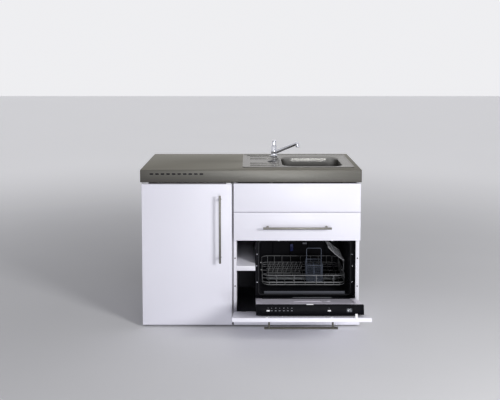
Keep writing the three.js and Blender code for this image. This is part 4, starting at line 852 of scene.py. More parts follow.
def fixed_fronts():
    """The plinth and the blind panel, with the two pads that seat each on the carcass."""
    rim = size("front_rim")
    front_y = ranges("drawer_front")[1]
    for node, name in (("plinth", "plinth_board"), ("blind_panel", "blind_board")):
        x, y, z = ranges(node)
        board = slab(name, x, front_y, z, rim, 4)
        pads = []
        for side in ("partition", "right_side"):
            side_x = inset(ranges(side)[0], 2)
            pads.append(slab("pad", side_x, (front_y[1] - 1, y[1]), inset(z, 12), 0.4, 2))
        place(join(name, [board, *pads]), ROOT, "white_front", node)


HANDLE = {"bar": 6, "post": 5, "spacing": 320}


def bar_handle(name, x, y, z):
    """A round bar with softened ends, on two posts that reach to the back of the given box."""
    upright = z[1] - z[0] > x[1] - x[0]
    span = z if upright else x
    bar_y = y[0] + HANDLE["bar"]

    def at(place_along, depth):
        return (middle(x), depth, place_along) if upright else (place_along, depth, middle(z))

    pieces = [rod(name, at(span[0], bar_y), at(span[1], bar_y), HANDLE["bar"], 1.2, 40)]
    for side in (-1, 1):
        post = middle(span) + side * HANDLE["spacing"] / 2
        pieces.append(rod("post", at(post, bar_y), at(post, y[1]), HANDLE["post"], sides=28))
        pieces.append(rod("collar", at(post, y[1] - 2), at(post, y[1]), HANDLE["post"] + 1.6, 0.6, 32))
    return join(name, pieces)


DRAWER_PADS = (152, 443)
MAT = {"ridges": 77, "pitch": 5, "edge": 28}


def drawer():
    rim = size("front_rim")
    _, front_y, front_z = ranges("drawer_front")
    place(slab("drawer_board", *ranges("drawer_front"), rim, 4), "drawer", "white_front", "drawer_front")
    place(bar_handle("drawer_bar", *ranges("drawer_handle")), "drawer", "handle_steel", "drawer_handle")
    x, y, z = ranges("drawer_box")
    runner_x = (ranges("drawer_runner_left")[0][1] + 1.7, ranges("drawer_runner_right")[0][0] - 1.7)
    bottom = 6
    box = tray("drawer_tray", runner_x, y, z, rims=(2.5, 3), steps=(4, 4), wall=12, bottom=bottom)
    pads = [slab("pad", about(at, 5), inset(front_y, 2), (front_z[0] - 2, front_z[0] + 1), 0.6, 2)
            for at in DRAWER_PADS]
    place(join("drawer_pads", pads), "drawer", "white_plastic")
    slide_z = inset(ranges("drawer_runner_left")[2], 2.3)
    slides = [slab("slide", (a, b), (y[0] + 4, y[1]), slide_z, 1, 2) for a,
              b in ((x[0], runner_x[0] + 1), (runner_x[1] - 1, x[1]))]
    place(join("drawer_tray", [smooth(box), *slides]), "drawer", "zinc_steel", "drawer_box")
    ridge = dowel("mat", inset(x, 30), y[0] + 20, z[0] + bottom + 1, 1, sides=8)
    repeated(ridge, [shift((0, k * MAT["pitch"], 0)) for k in range(1, MAT["ridges"])])
    mat = slab("mat", inset(x, MAT["edge"]), inset(y, 16), (z[0] + bottom, z[0] + bottom + 1), 0.4, 2)
    place(join("drawer_mat", [mat, ridge]), "drawer", "rubber")


FLAP_CLIP = {"from_right": 76, "reach": 19}


def flap():
    x, y, z = shut_ranges("flap_panel", "flap_hinge", FLAP_OPENING)
    board = slab("flap_board", x, y, z, size("front_rim"), 4)
    pivot_y, pivot_z = pivot("flap_hinge")[1:]
    pins = []
    for node in ("flap_hinge_left", "flap_hinge_right"):
        hinge_x = inset(ranges(node)[0], -1)
        cut(board, slab("notch", hinge_x, inset(y, -BEYOND), (z[0] - BEYOND, pivot_z + 9)))
        pins.append(dowel("pin", inset(hinge_x, -3), pivot_y, pivot_z, 2.5))
    open_flap = swing("flap_hinge", FLAP_OPENING)
    handle_box = shut_ranges("flap_handle", "flap_hinge", FLAP_OPENING)
    handle = bar_handle("flap_bar", *handle_box)
    heads, buffers = [], []
    for side in (-1, 1):
        post = middle(x) + side * HANDLE["spacing"] / 2
        heads.append(turned("head", [(0, 0), (5, 0), (4.6, 1.6), (2.4, 2.4), (0, 1.6)],
                            (post, y[1], middle(handle_box[2])), "Y", 24))
        buffers.append(turned("buffer", [(0, 0), (7, 0), (6.2, 2), (0, 2.6)],
                              (post - 15, y[1], z[1] - 10), "Y", 24))
    clip_x = x[1] - FLAP_CLIP["from_right"]
    clip = slab("door_clip", about(clip_x, 6), (y[1] - 8, y[1] + FLAP_CLIP["reach"]),
                (z[1] - 0.2, z[1] + 1.2), 0.5, 2)
    for piece in (board, handle, clip, *pins, *heads, *buffers):
        piece.data.transform(open_flap)
    place(join("flap_buffers", [clip, *buffers]), "flap", "white_plastic")
    place(smooth(join("flap_board", [board, *pins])), "flap", "white_front", "flap_panel")
    # The flap's handle takes the darker copy of the handle steel: painted shade.
    place(handle, "flap", "handle_steel", "flap_handle", look="flap_handle_steel")
    place(join("flap_screw_heads", heads), "flap", "chrome")


# ---------------------------------------------------------------- dishwasher

TUB = {"wall": 23, "radius": 22, "foot": 16, "toe": 30, "seal": 10}
SILL = {"left": 48, "right": 49, "depth": 6, "height": 14, "lock": 11, "vent": 207}
EAR = {"inset": 40, "half": 4, "radius": 8, "pin": 3}
RAIL = {"bottom": 208, "sheet": 4, "gap": 14, "reach": 11}
FLANGE_SCREWS = ((10, 382), (8, 317), (10, 223))  # from the casing's side, height


def tub_ranges():
    seal_x, seal_y, seal_z = ranges("dishwasher_seal")
    back = ranges("dishwasher_casing")[1][1] - TUB["wall"]
    return inset(seal_x, TUB["seal"]), (seal_y[1], back), inset(seal_z, TUB["seal"])


def dishwasher_tub():
    x, y, z = ranges("dishwasher_casing")
    tub_x, tub_y, tub_z = tub_ranges()
    shell = slab("dishwasher_tub", x, (tub_y[0], y[1]), (z[0] + TUB["foot"], z[1]), 1.5, 3)
    cut(shell, slab("tub", tub_x, (tub_y[0] - 3 * BEYOND, tub_y[1]), tub_z, TUB["radius"], 6),
        slab("toe", inset(x, -BEYOND), (tub_y[0] - BEYOND, tub_y[0] + TUB["toe"]),
             (z[0], tub_z[0] - TUB["seal"])))
    pieces = [smooth(shell)]
    pivot_y, pivot_z = pivot("dishwasher_door_hinge")[1:]
    for side in inset(x, EAR["inset"]):
        span = about(side, EAR["half"])
        ear = dowel("ear", span, pivot_y, pivot_z, EAR["radius"])
        arm = slab("arm", span, (pivot_y, tub_y[0] + TUB["toe"] + 1), about(pivot_z, 7))
        bore = [dowel("bore", inset(span, -BEYOND), pivot_y, pivot_z, EAR["pin"] + 0.3) for _ in range(2)]
        pieces += [cut(ear, bore[0]), cut(arm, bore[1])]
    for wall, reach in ((tub_x[0], RAIL["reach"]), (tub_x[1], -RAIL["reach"])):
        span = tuple(sorted((wall - reach / 11, wall + reach)))
        for low in (RAIL["bottom"], RAIL["bottom"] + RAIL["sheet"] + RAIL["gap"]):
            pieces.append(slab("rail", span, (tub_y[0] + 14, tub_y[1] - 10), (low, low + RAIL["sheet"]),
                               1, 2))
    for place_x in spread(inset(tub_x, 90), 4):
        pieces.append(dowel("rib", place_x, tub_y[1], inset(tub_z, 40), 5, 4))
    for place_x in inset(x, EAR["inset"]):
        for place_y in (tub_y[0] + 70, y[1] - 50):
            pieces.append(dowel("foot", place_x, place_y, (z[0], z[0] + TUB["foot"] + 1), 15, 1))
    centre = (middle(tub_x), middle(tub_y))
    boss = dowel("boss", *centre, (tub_z[0] - 2, ranges("spray_arm")[2][0] - 0.3), 13, 1.5)
    place(join("dishwasher_tub", [*pieces, boss]), ROOT, "tub_black", "dishwasher_casing")

    sill_y = (tub_y[0] + 0.5, tub_y[0] + SILL["depth"])
    sill = slab("tub_sill", (x[0] + SILL["left"], x[1] - SILL["right"]), sill_y,
                (tub_z[0] - 4, tub_z[0] + SILL["height"]), 2.7, 4)
    # The sill is black plastic, shown in a lighter grey: painted sheen.
    place(sill, ROOT, "black_plastic", look="sill_plastic")
    seat = inset(x, (x[1] - x[0]) / 2 - SILL["lock"])
    lock = slab("door_lock", seat, (tub_y[0] - 2, tub_y[0] + 8), (tub_z[1] - 15, tub_z[1] - 7), 1, 3)
    cut(lock, slab("mouth", inset(seat, 5), (tub_y[0] - BEYOND, tub_y[0] + 4), (tub_z[1] - 13, tub_z[1] - 9)))
    # The lock is shown in the sill's grey, dimmer than its zinc.
    place(smooth(lock), ROOT, "zinc_steel", look="sill_plastic")
    vent_x, vent_z = tub_x[0] + SILL["vent"], tub_z[0] + 130
    cap = turned("vent_cap", [(0, 0), (11, 0), (11, -3), (9, -6), (4, -8), (0, -8)],
                 (vent_x, tub_y[1] + 1, vent_z), "Y", 32, 1)
    grille = slab("fin", about(vent_x, 9), (tub_y[1] - 7, tub_y[1] + 1), about(vent_z, 22), 3, 4)
    place(join("vent_cap", [grille, cap]), ROOT, "tub_black", look="blue_plastic")
    # A dark strip over the inner face of the right side, beside the tub, which darkens that face.
    strip = slab("foam_strip", (x[1] - 0.7, x[1] + 0.2), (ranges("right_side")[1][0] + 4, tub_y[0] + 1),
                 (z[0] + TUB["foot"], z[1] - 1))
    place(strip, ROOT, "rubber", look="tub_black")

    heads = []
    for from_side, height in FLANGE_SCREWS:
        heads += [screw("flange_screw", (place_x, tub_y[0], height), 3.6) for place_x in inset(x, from_side)]
    place(join("flange_screws", heads), ROOT, "zinc_steel", look="chrome")

    filter_x, filter_y, floor = middle(tub_x) + 110, middle(tub_y) + 60, tub_z[0]
    mesh = turned("sump_filter", [(0, 0), (52, 0), (52, 2), (26, 3), (24, 6), (20, 6.6), (0, 6)],
                  (filter_x, filter_y, floor), rim=0.8)
    place(mesh, ROOT, "zinc_steel", look="filter_mesh")

    seal_x, seal_y, seal_z = ranges("dishwasher_seal")
    bulb = (seal_y[1] - seal_y[0]) / 2
    loop = rectangle(inset(seal_x, TUB["seal"] / 2), middle(seal_y), inset(seal_z, TUB["seal"] / 2), 22)
    place(wires("door_gasket", [], bulb, [loop], 3), ROOT, "rubber", "dishwasher_seal")


def spray_arm():
    x, y, z = ranges("spray_arm")
    centre = (middle(x), middle(y))
    thick = 8
    blade = cushion_box("spray_blade", x, y, (z[0], z[0] + thick), "Z", (y[1] - y[0]) * 0.3, 2.4)
    hub = turned("hub", [(0, 0), (20, 0), (20, thick), (15, thick + 3), (9, thick + 4), (0, thick + 4)],
                 (*centre, z[0]), rim=1)
    nozzles = []
    for side in (-1, 1):
        for k in range(5):
            spot = (centre[0] + side * (45 + 36 * k), centre[1] + (6 if k % 2 else -6))
            nozzles.append(turned("nozzle", [(2, 0), (4, 0), (3.4, 1.4), (2, 1.4), (2, 0)],
                                  (*spot, z[0] + thick), sides=16))
    place(join("spray_blade", [blade, hub, *nozzles]), "spray_arm", "zinc_steel", "spray_arm")


STRIP = {"recess": 5}
# Painted reflection: a black band across the liner's lower part stands in for the dark tub reflected there; a pale
# bar lies on it.
DARK_BAND = {"height": 92, "bar_left": 204, "bar_length": 214, "bar_up": 51}


def dishwasher_door():
    joint, opening = "dishwasher_door_hinge", DOOR_OPENING
    shell_x, shell_y, shell_z = shut_ranges("dishwasher_door", joint, opening)
    sheet_x, sheet_y, sheet_z = shut_ranges("dishwasher_door_liner", joint, opening)
    strip_x, strip_y, strip_z = shut_ranges("dishwasher_control_panel", joint, opening)
    pivot_y, pivot_z = pivot(joint)[1:]
    casing_x = ranges("dishwasher_casing")[0]
    ears = inset(casing_x, EAR["inset"])
    open_door = swing(joint, opening)

    shell = slab("door_shell", shell_x, shell_y, shell_z, 2, 3)
    sheet = slab("door_sheet", sheet_x, sheet_y, sheet_z, 0.8, 2)
    pressed = slab("pressed", inset(sheet_x, 34), (sheet_y[1] - 3, sheet_y[1] + BEYOND),
                   (sheet_z[0] + 34, sheet_z[1] - 26), 2.6, 4)
    # The liner's lower part is cut away and a black band put in its place: painted reflection of the dark tub.
    band_y = (sheet_y[1] - 2, sheet_y[1])
    band_z = (sheet_z[0], sheet_z[0] + DARK_BAND["height"])
    cut(sheet, pressed,
        slab("foot_bed", inset(sheet_x, -BEYOND), (band_y[0], band_y[1] + BEYOND),
             (band_z[0] - BEYOND, band_z[1])))
    foot = slab("door_foot", sheet_x, band_y, band_z)
    bar_x = (sheet_x[0] + DARK_BAND["bar_left"], sheet_x[0] + DARK_BAND["bar_left"] + DARK_BAND["bar_length"])
    bar = slab("door_foot_bar", bar_x, (band_y[1] - 1, band_y[1] + 1.2),
               (band_z[0] + DARK_BAND["bar_up"], band_z[0] + DARK_BAND["bar_up"] + 7), 0.5, 2)
    pins = []
    for ear in ears:
        span = (ear - EAR["half"] - 1, ear + EAR["half"] + 1)
        for board, spans in ((shell, shell_y), (sheet, sheet_y), (foot, sheet_y)):
            cut(board, slab("notch", span, inset(spans, -BEYOND),
                            (shell_z[0] - BEYOND, pivot_z + EAR["radius"] + 3)))
        pins.append(dowel("pin", inset(span, -3), pivot_y, pivot_z, EAR["pin"]))
    lid_x, lid_y, lid_z = shut_ranges("dispenser_lid", joint, opening)
    pocket = slab("pocket", inset(lid_x, -1), (lid_y[0] - 0.5, lid_y[1] + 2 * BEYOND), inset(lid_z, -2))
    cut(sheet, pocket)
    surround = slab("surround", inset(lid_x, -10), (sheet_y[1] - 3.5, sheet_y[1] - 1.2), inset(lid_z, -10),
                    1, 3)
    cut(surround, slab("pocket", inset(lid_x, -1), inset(lid_y, -2 * BEYOND), inset(lid_z, -2)))
    cap = turned("rinse_cap", [(0, 0), (17, 0), (16.4, 1.6), (5, 2), (4.4, 2.4), (0, 2.4)],
                 (lid_x[1] + 42, sheet_y[1] - 3.2, middle(lid_z)), "Y", 40)

    strip_body_y = (shell_y[0], sheet_y[1])
    strip = slab("control_strip", strip_x, strip_body_y, strip_z, 2.2, 4)
    buttons, recesses = [], []
    for node in ("power_button", "start_button"):
        bx, by, bz = shut_ranges(node, joint, opening)
        recesses.append(slab("recess", inset(bx, -0.4), inset(by, -0.4),
                             (strip_z[1] - STRIP["recess"], strip_z[1] + BEYOND), 2, 3))
        buttons.append((slab(f"{node}_cap", bx, by, bz, 1.4, 4), node))
    window_x = (strip_x[1] - 88, strip_x[1] - 60)
    window_y = (strip_body_y[0] + 14, strip_body_y[0] + 32)
    cut(strip, *recesses, slab("window_recess", window_x, window_y, (strip_z[1] - 0.8, strip_z[1] + BEYOND)))
    window = slab("display_window", inset(window_x, 0.2), inset(window_y, 0.2),
                  (strip_z[1] - 0.8, strip_z[1] - 0.1), 0.2, 2)
    marks = strip_marks(strip_x, strip_body_y, strip_z[1])
    digits = display_digits(window_x, window_y, strip_z[1] - 0.1)

    catch_x = about(middle(casing_x), 18)
    catch = slab("door_catch", catch_x, (sheet_y[1] - 1, strip_y[1]), (strip_z[1] - 9, strip_z[1] - 2), 1, 3)
    cut(catch, slab("mouth", inset(catch_x, 11), (strip_y[1] - 2.4, strip_y[1] + BEYOND),
                    (strip_z[1] - 7, strip_z[1] - 4)))

    body = "dishwasher_door"
    for piece in (shell, sheet, foot, bar, *pins, surround, cap, strip, window, marks, digits, catch,
                  *(b for b, _ in buttons)):
        piece.data.transform(open_door)
    place(smooth(join("door_shell", [shell, *pins])), body, "black_plastic", "dishwasher_door")
    place(smooth(sheet), body, "door_liner_steel", "dishwasher_door_liner")
    # Black band: painted reflection of the dark tub; the pale bar on it takes the print's grey.
    place(smooth(foot), body, "black_plastic")
    place(bar, body, "door_liner_steel", look="pale_print")
    place(join("dispenser_surround", [surround, cap]), body, "black_plastic", look="door_liner_steel")
    place(smooth(strip), body, "black_plastic", "dishwasher_control_panel")
    place(window, body, "black_plastic", look="display_glass")
    place(marks, body, "white_plastic", look="pale_print")
    place(digits, body, "white_plastic", look="pale_print")
    place(catch, body, "white_plastic")
    for button, node in buttons:
        place(button, node, "white_plastic", node)
    lid = slab("detergent_lid", *shut_ranges("dispenser_lid", joint, opening), 0.8, 3)
    grip = slab("grip", about(middle(lid_x), 16), (lid_y[1] - 1, lid_y[1]), (lid_z[1] - 9, lid_z[1] - 5))
    cut(lid, grip)
    lid.data.transform(open_door)
    place(smooth(lid), "dispenser_lid", "black_plastic", "dispenser_lid", look="door_liner_steel")


def strip_marks(x, y, top):
    """Small generic marks for the programmes, a row of dots above them, and two short dashes."""
    thick = 0.12
    marks = []
    for k in range(6):
        centre = x[0] + (79 + 20.5 * k)
        row = y[0] + 21
        marks.append(slab("mark", about(centre, 4.5), about(row, 1), (top, top + thick)))
        for dot in (-2, 2) if k % 2 else (0,):
            spot = (centre + dot, row + 13)
            marks.append(dowel("dot", *spot, (top, top + thick), 1.3, sides=16))
    for spot in (x[0] + 61, x[0] + 371):
        marks.append(dowel("dot", spot, y[0] + 34, (top, top + thick), 1.3, sides=16))
    return join("strip_marks", marks)


def display_digits(x, y, top):
    """Two plain digits, each of seven bars."""
    lit = {"2": "abged", "5": "afgcd"}
    width, height, bar = 7.4, 13, 1.8
    bars = []
    for digit, left in (("2", x[0] + 5), ("5", x[0] + 16)):
        low = middle(y) - height / 2
        level = {"d": 0, "g": 0.5, "a": 1}
        upright = {"e": (0, 0), "c": (1, 0), "f": (0, 0.5), "b": (1, 0.5)}
        for name in lit[digit]:
            if name in level:
                centre_y = low + level[name] * height
                spans = (left + bar / 2, left + width - bar / 2), about(centre_y, bar / 2)
            else:
                side, up = upright[name]
                centre_x = left + side * width
                spans = about(centre_x, bar / 2), (low + up * height + bar / 2,
                                                   low + (up + 0.5) * height - bar / 2)
            bars.append(slab("bar", *spans, (top, top + 0.1)))
    return join("display_digits", bars)


# ---------------------------------------------------------------- dish rack

RACK = {"side_gap": 15, "height": 55, "corner": 50, "middle_ring": 15, "bend": 9,
        "lengthwise": (41, 83, 130, 182, 244, 307, 355, 405, 440), "uprights": (83, 182, 307, 405),
        "crosswise": (50, 122, 194, 266, 338)}
PLATE_TINES = {"count": 8, "height": 46, "lean": 16, "inset": 40, "length": 185, "rows": (215, 285)}
CUP_TINES = {"count": 5, "height": 26, "inset": 25, "length": 80, "row": 110}
CUP_SHELF = {"up": 62, "post_inset": 85, "width": 118, "tilt": radians(41), "sag": 4, "ribs": 7}


def rack_ranges():
    """The rack's outer faces along X and Y, its underside and its rim."""
    low = ranges("dish_rack")[2][0]
    return inset(tub_ranges()[0], RACK["side_gap"]), ranges("dish_rack")[1], (low, low + RACK["height"])


def hinge_rod():
    """The place of the cup shelf's hinge rod: its X, its Z and the Y of its two posts."""
    x, y, z = rack_ranges()
    return x[1] - size("rack_wire"), z[1] + CUP_SHELF["up"], inset(y, CUP_SHELF["post_inset"])


def dish_rack():
    thick = size("rack_wire")
    thin = size("tine_wire")
    x, y, z = rack_ranges()
    ring_x, ring_y = inset(x, thick), inset(y, thick)
    floor = z[0] + thick
    frames = [rectangle(ring_x, ring_y, level, RACK["corner"])
              for level in (z[1], z[0] + RACK["middle_ring"], floor)]
    cradle = []
    for offset in RACK["lengthwise"]:
        at = x[0] + offset
        front_top = z[1] if offset in RACK["uprights"] else z[0] + RACK["middle_ring"]
        line = [(at, ring_y[0], front_top), (at, ring_y[0], floor + 2 * thin),
                (at, ring_y[1], floor + 2 * thin), (at, ring_y[1], z[1])]
        cradle.append(rounded(line, RACK["bend"]))
    for offset in RACK["crosswise"]:
        at = y[0] + offset
        line = [(ring_x[0], at, z[1]), (ring_x[0], at, floor), (ring_x[1], at, floor), (ring_x[1], at, z[1])]
        cradle.append(rounded(line, RACK["bend"]))
    rod_x, rod_z, posts = hinge_rod()
    bail = rounded([(rod_x, posts[0], floor), (rod_x, posts[0], rod_z), (rod_x, posts[1], rod_z),
                    (rod_x, posts[1], floor)], thick, 4)
    tines = []
    for row in PLATE_TINES["rows"]:
        at, low = y[0] + row, floor + 2 * thin
        span = (x[0] + PLATE_TINES["inset"], x[0] + PLATE_TINES["inset"] + PLATE_TINES["length"])
        tines.append([Vector((span[0] - 8, at, low)), Vector((span[1] + 8, at, low))])
        for foot in spread(span, PLATE_TINES["count"]):
            tip = (foot + PLATE_TINES["lean"], at, floor + PLATE_TINES["height"])
            tines.append(rounded([(foot, at, low), (foot + 2, at, low + 12), tip], 6))
    at = y[0] + CUP_TINES["row"]
    span = (x[1] - CUP_TINES["inset"] - CUP_TINES["length"], x[1] - CUP_TINES["inset"])
    for left, right in zip(spread(span, CUP_TINES["count"]), spread(span, CUP_TINES["count"])[1:]):
        top = floor + CUP_TINES["height"]
        tines.append(rounded([(left, at, floor), (left, at, top), (right, at, top), (right, at, floor)], 6))
    heavy = wires("heavy_wire", [bail], thick, frames, 3)
    light = wires("light_wire", cradle + tines, thin, (), 3)
    place(join("dish_rack_wire", [heavy, light]), "dish_rack", "rack_wire", "dish_rack")

    rail = RAIL["bottom"] + RAIL["sheet"] + RAIL["gap"] / 2
    tub_x = tub_ranges()[0]
    rollers = []
    for wall, side in ((tub_x[0], 1), (tub_x[1], -1)):
        for share in (0.5, 1.0):
            at = y[0] + RACK["corner"] + (y[1] - y[0] - 2 * RACK["corner"]) * share
            wheel = [(0, 1.3), (4, 1.3), (6.4, 2), (6.4, 8), (3, 9), (2, RACK["side_gap"] + 1.5),
                     (0, RACK["side_gap"] + 1.5)]
            rollers.append(turned("roller", [(r, side * h) for r, h in wheel], (wall, at, rail), "X",
                                  28, 0.4))
    place(join("rack_rollers", rollers), "dish_rack", "white_plastic")


def lattice(name, extent, counts, turn, at):
    """An open wall of thin bars with the given counts of openings, made flat, then turned and moved."""
    deselect()
    bpy.ops.mesh.primitive_grid_add(x_subdivisions=counts[0], y_subdivisions=counts[1], size=1)
    piece = started(name)
    flat = Matrix.Diagonal((extent[0] * MM, extent[1] * MM, 1, 1))
    piece.data.transform(shift(at) @ turn @ flat)
    return modify(piece, "WIREFRAME", thickness=1.6 * MM, use_even_offset=False, use_replace=True)


BASKET = {"arch_rise": 84, "divider_drop": 12, "bar": 1.3}


def cutlery_basket():
    x, y, z = ranges("cutlery_basket")
    wall_top = z[1] - BASKET["arch_rise"]
    wall = BASKET["bar"]
    width, depth, height = x[1] - x[0] - 2 * wall, y[1] - y[0] - 2 * wall, wall_top - z[0] - 2 * wall
    centre = Vector((middle(x), middle(y), (z[0] + wall_top) / 2))
    facing_x = Matrix.Rotation(pi / 2, 4, "Z") @ Matrix.Rotation(pi / 2, 4, "X")
    facing_y = Matrix.Rotation(pi / 2, 4, "X")
    pieces = [lattice("base", (width, depth), (8, 10), Matrix(), (centre.x, centre.y, z[0] + wall))]
    for wide, counts, facing, across in ((depth, (10, 7), facing_x, Vector((width, 0, 0))),
                                         (width, (8, 7), facing_y, Vector((0, depth, 0)))):
        for share in (-0.5, 0, 0.5):
            tall = height if share else height - BASKET["divider_drop"]
            at = centre + across * share + Vector((0, 0, (tall - height) / 2))
            pieces.append(lattice("wall", (wide, tall), counts, facing, at))
    rims = [rectangle(inset(x, wall), inset(y, wall), level, 5) for level in (z[0] + 1.5, wall_top - 1.6)]
    pieces.append(wires("rims", [], 1.6, rims, 3))
    leg = 3.5
    arch = [(x[0] + leg, centre.y, z[0] + 3), (x[0] + leg, centre.y, z[1] - 3),
            (x[1] - leg, centre.y, z[1] - 3), (x[1] - leg, centre.y, z[0] + 3)]
    pieces.append(wires("arch", [rounded(arch, 10, 8)], 1.8, (), 4))
    place(join("cutlery_lattice", pieces), "dish_rack", "basket_plastic", "cutlery_basket")


def cup_shelf():
    """Curved wires on a sleeve round the hinge rod, leaning up and inwards."""
    thick = size("rack_wire")
    thin = size("tine_wire")
    rod_x, rod_z, posts = hinge_rod()
    y = inset(posts, thick + 1.3)
    width, tilt = CUP_SHELF["width"], CUP_SHELF["tilt"]

    def along(share, at):
        sag = 4 * CUP_SHELF["sag"] * share * (1 - share)
        out = thick + 1.6 + (width - thick - 1.6) * share
        return Vector((rod_x - out * cos(tilt) - sag * sin(tilt), at,
                       rod_z + out * sin(tilt) - sag * cos(tilt)))

    ribs = [[along(k / 8, at) for k in range(9)] for at in spread(inset(y, 3), CUP_SHELF["ribs"])]
    bars = [[along(share, y[0] + 3), along(share, y[1] - 3)] for share in (0.37, 0.69, 1.0)]
    sleeve = turned("sleeve",
                    [(thick + 0.3, 0), (thick + 2.3, 0), (thick + 2.3, y[1] - y[0]),
                     (thick + 0.3, y[1] - y[0]), (thick + 0.3, 0)], (rod_x, y[0], rod_z), "Y", 24)
    pieces = [sleeve, wires("ends", [ribs[0], ribs[-1]], thick, (), 3),
              wires("ribs", ribs[1:-1], thin, (), 3), wires("bars", bars, thin * 1.2, (), 3)]
    # The cup shelf takes the lighter copy of the rack wire: painted light.
    place(join("cup_shelf_wire", pieces), "cup_shelf", "rack_wire", "cup_shelf", look="shelf_wire")


# ---------------------------------------------------------------- refrigerator

TRAY_WALL = 3  # of the crisper and of the bins in the door
FRIDGE = {"wall": 35, "bay": 160, "bay_top": 215, "radius": 14, "ledge": 8}


def fridge_room():
    """The ends of the cooled space along X, Y and Z, and the front and the top of the compressor's step."""
    x, y, z = ranges("fridge_cabinet")
    skid = z[0] - ranges("cabinet_floor")[2][1]
    low = z[0] - skid + 1
    return (inset(x, FRIDGE["wall"]), (y[0], y[1] - FRIDGE["wall"]),
            (low + FRIDGE["wall"], z[1] - FRIDGE["wall"]),
            (y[1] - FRIDGE["bay"] - FRIDGE["wall"], FRIDGE["bay_top"] + FRIDGE["wall"]))


def fridge_cabinet():
    x, y, z = ranges("fridge_cabinet")
    room_x, room_y, room_z, (step_front, step_top) = fridge_room()
    shelf_y, shelf_z = ranges("glass_shelf")[1:]
    body = slab("fridge_body", x, y, (z[0] + 1, z[1]), 3, 3)
    cut(body, slab("bay", inset(x, -BEYOND), (y[1] - FRIDGE["bay"], y[1] + BEYOND),
                   (z[0] - BEYOND, FRIDGE["bay_top"])),
                   slab("upper", room_x, (y[0] - 3 * BEYOND, room_y[1]), (step_top, room_z[1]),
                        FRIDGE["radius"], 5),
                        slab("lower", room_x, (y[0] - 3 * BEYOND, step_front),
                             (room_z[0], step_top + 5 * BEYOND), FRIDGE["radius"], 5))
    pieces = [smooth(body)]
    for wall, side in ((room_x[0], 1), (room_x[1], -1)):
        span = tuple(sorted((wall - side, wall + side * FRIDGE["ledge"])))
        pieces.append(slab("ledge", span, (shelf_y[0], room_y[1] + 1),
                           (shelf_z[0] - FRIDGE["ledge"], shelf_z[0]), 1.6, 3))
        skid = (x[0] if side > 0 else x[1]) + side * 30
        pieces.append(slab("skid", about(skid, 20), (y[0] + 6, y[0] + 200), (z[0], z[0] + 2)))
    for level in (step_top + 40, step_top + 52):
        pieces.append(slab("rib", inset(room_x, 40), (room_y[1] - 2, room_y[1] + 1), (level, level + 5),
                           0.9, 2))
    place(join("fridge_body", pieces), ROOT, "white_plastic", "fridge_cabinet")


def fridge_inside():
    """The glass shelf and its trims, the crisper, and the thermostat with its dial and lamp."""
    x, y, z = ranges("glass_shelf")
    place(slab("glass_pane", x, y, z, 1, 2), ROOT, "shelf_glass", "glass_shelf")
    trims = [slab("trim", x, span, inset(z, -1.5), 1.4, 3)
             for span in ((y[0] - 4, y[0] + 10), (y[1] - 9, y[1]))]
    place(join("shelf_trims", trims), ROOT, "white_plastic")

    x, y, z = ranges("crisper")
    box = tray("vegetable_drawer", x, y, z, rims=(9, 7), steps=(5, 5), wall=TRAY_WALL, bottom=TRAY_WALL)
    grip = slab("grip", about(middle(x), 70), (y[0] - BEYOND, y[0] + TRAY_WALL + 1),
                (z[1] - 34, z[1] - 16), 3, 3)
    place(smooth(cut(box, grip)), ROOT, "clear_plastic", "crisper")

    x, y, z = ranges("thermostat_housing")
    housing = slab("thermostat_box", x, y, z, 4, 4)
    ticks = [slab("tick", (x[0] - 0.25, x[0] + 1), about(place_y, 0.6), about(place_z, 0.6)) for place_y,
             place_z in dial_marks()]
    place(housing, ROOT, "white_plastic", "thermostat_housing")
    place(join("dial_marks", ticks), ROOT, "black_plastic")
    lens = slab("lamp_lens", (x[0] + 3, x[1] - 1), inset(y, 6), (z[0] - 6, z[0] + 1), 2.5, 4)
    place(lens, ROOT, "clear_plastic")

    x, y, z = ranges("thermostat_dial")
    radius = (z[1] - z[0]) / 2
    thick = x[1] - x[0]
    knob = turned("temperature_dial", [(0, 0), (radius, 0), (radius, -7), (radius - 1.5, -9), (0, -9)],
                  (x[1], middle(y), middle(z)), "X", 48, 0.5)
    bar = slab("bar", (x[0], x[1] - 5), about(middle(y), 3), inset(z, 2.5), 1.5, 3)
    line = slab("line", (x[0] - 0.1, x[0] + thick * 0.2), about(middle(y), 0.6), (z[1] - 14, z[1] - 4))
    place(join("temperature_dial", [knob, bar]), "thermostat_dial", "white_plastic", "thermostat_dial")
    place(line, "thermostat_dial", "black_plastic")
    line.name = "dial_line"


def dial_marks():
    """The places of the marks round the dial, along Y and Z."""
    _, y, z = ranges("thermostat_dial")
    reach = (z[1] - z[0]) / 2 + 4
    return [(middle(y) + reach * sin(a), middle(z) + reach * cos(a))
            for a in (radians(-150 + 50 * k) for k in range(7))]


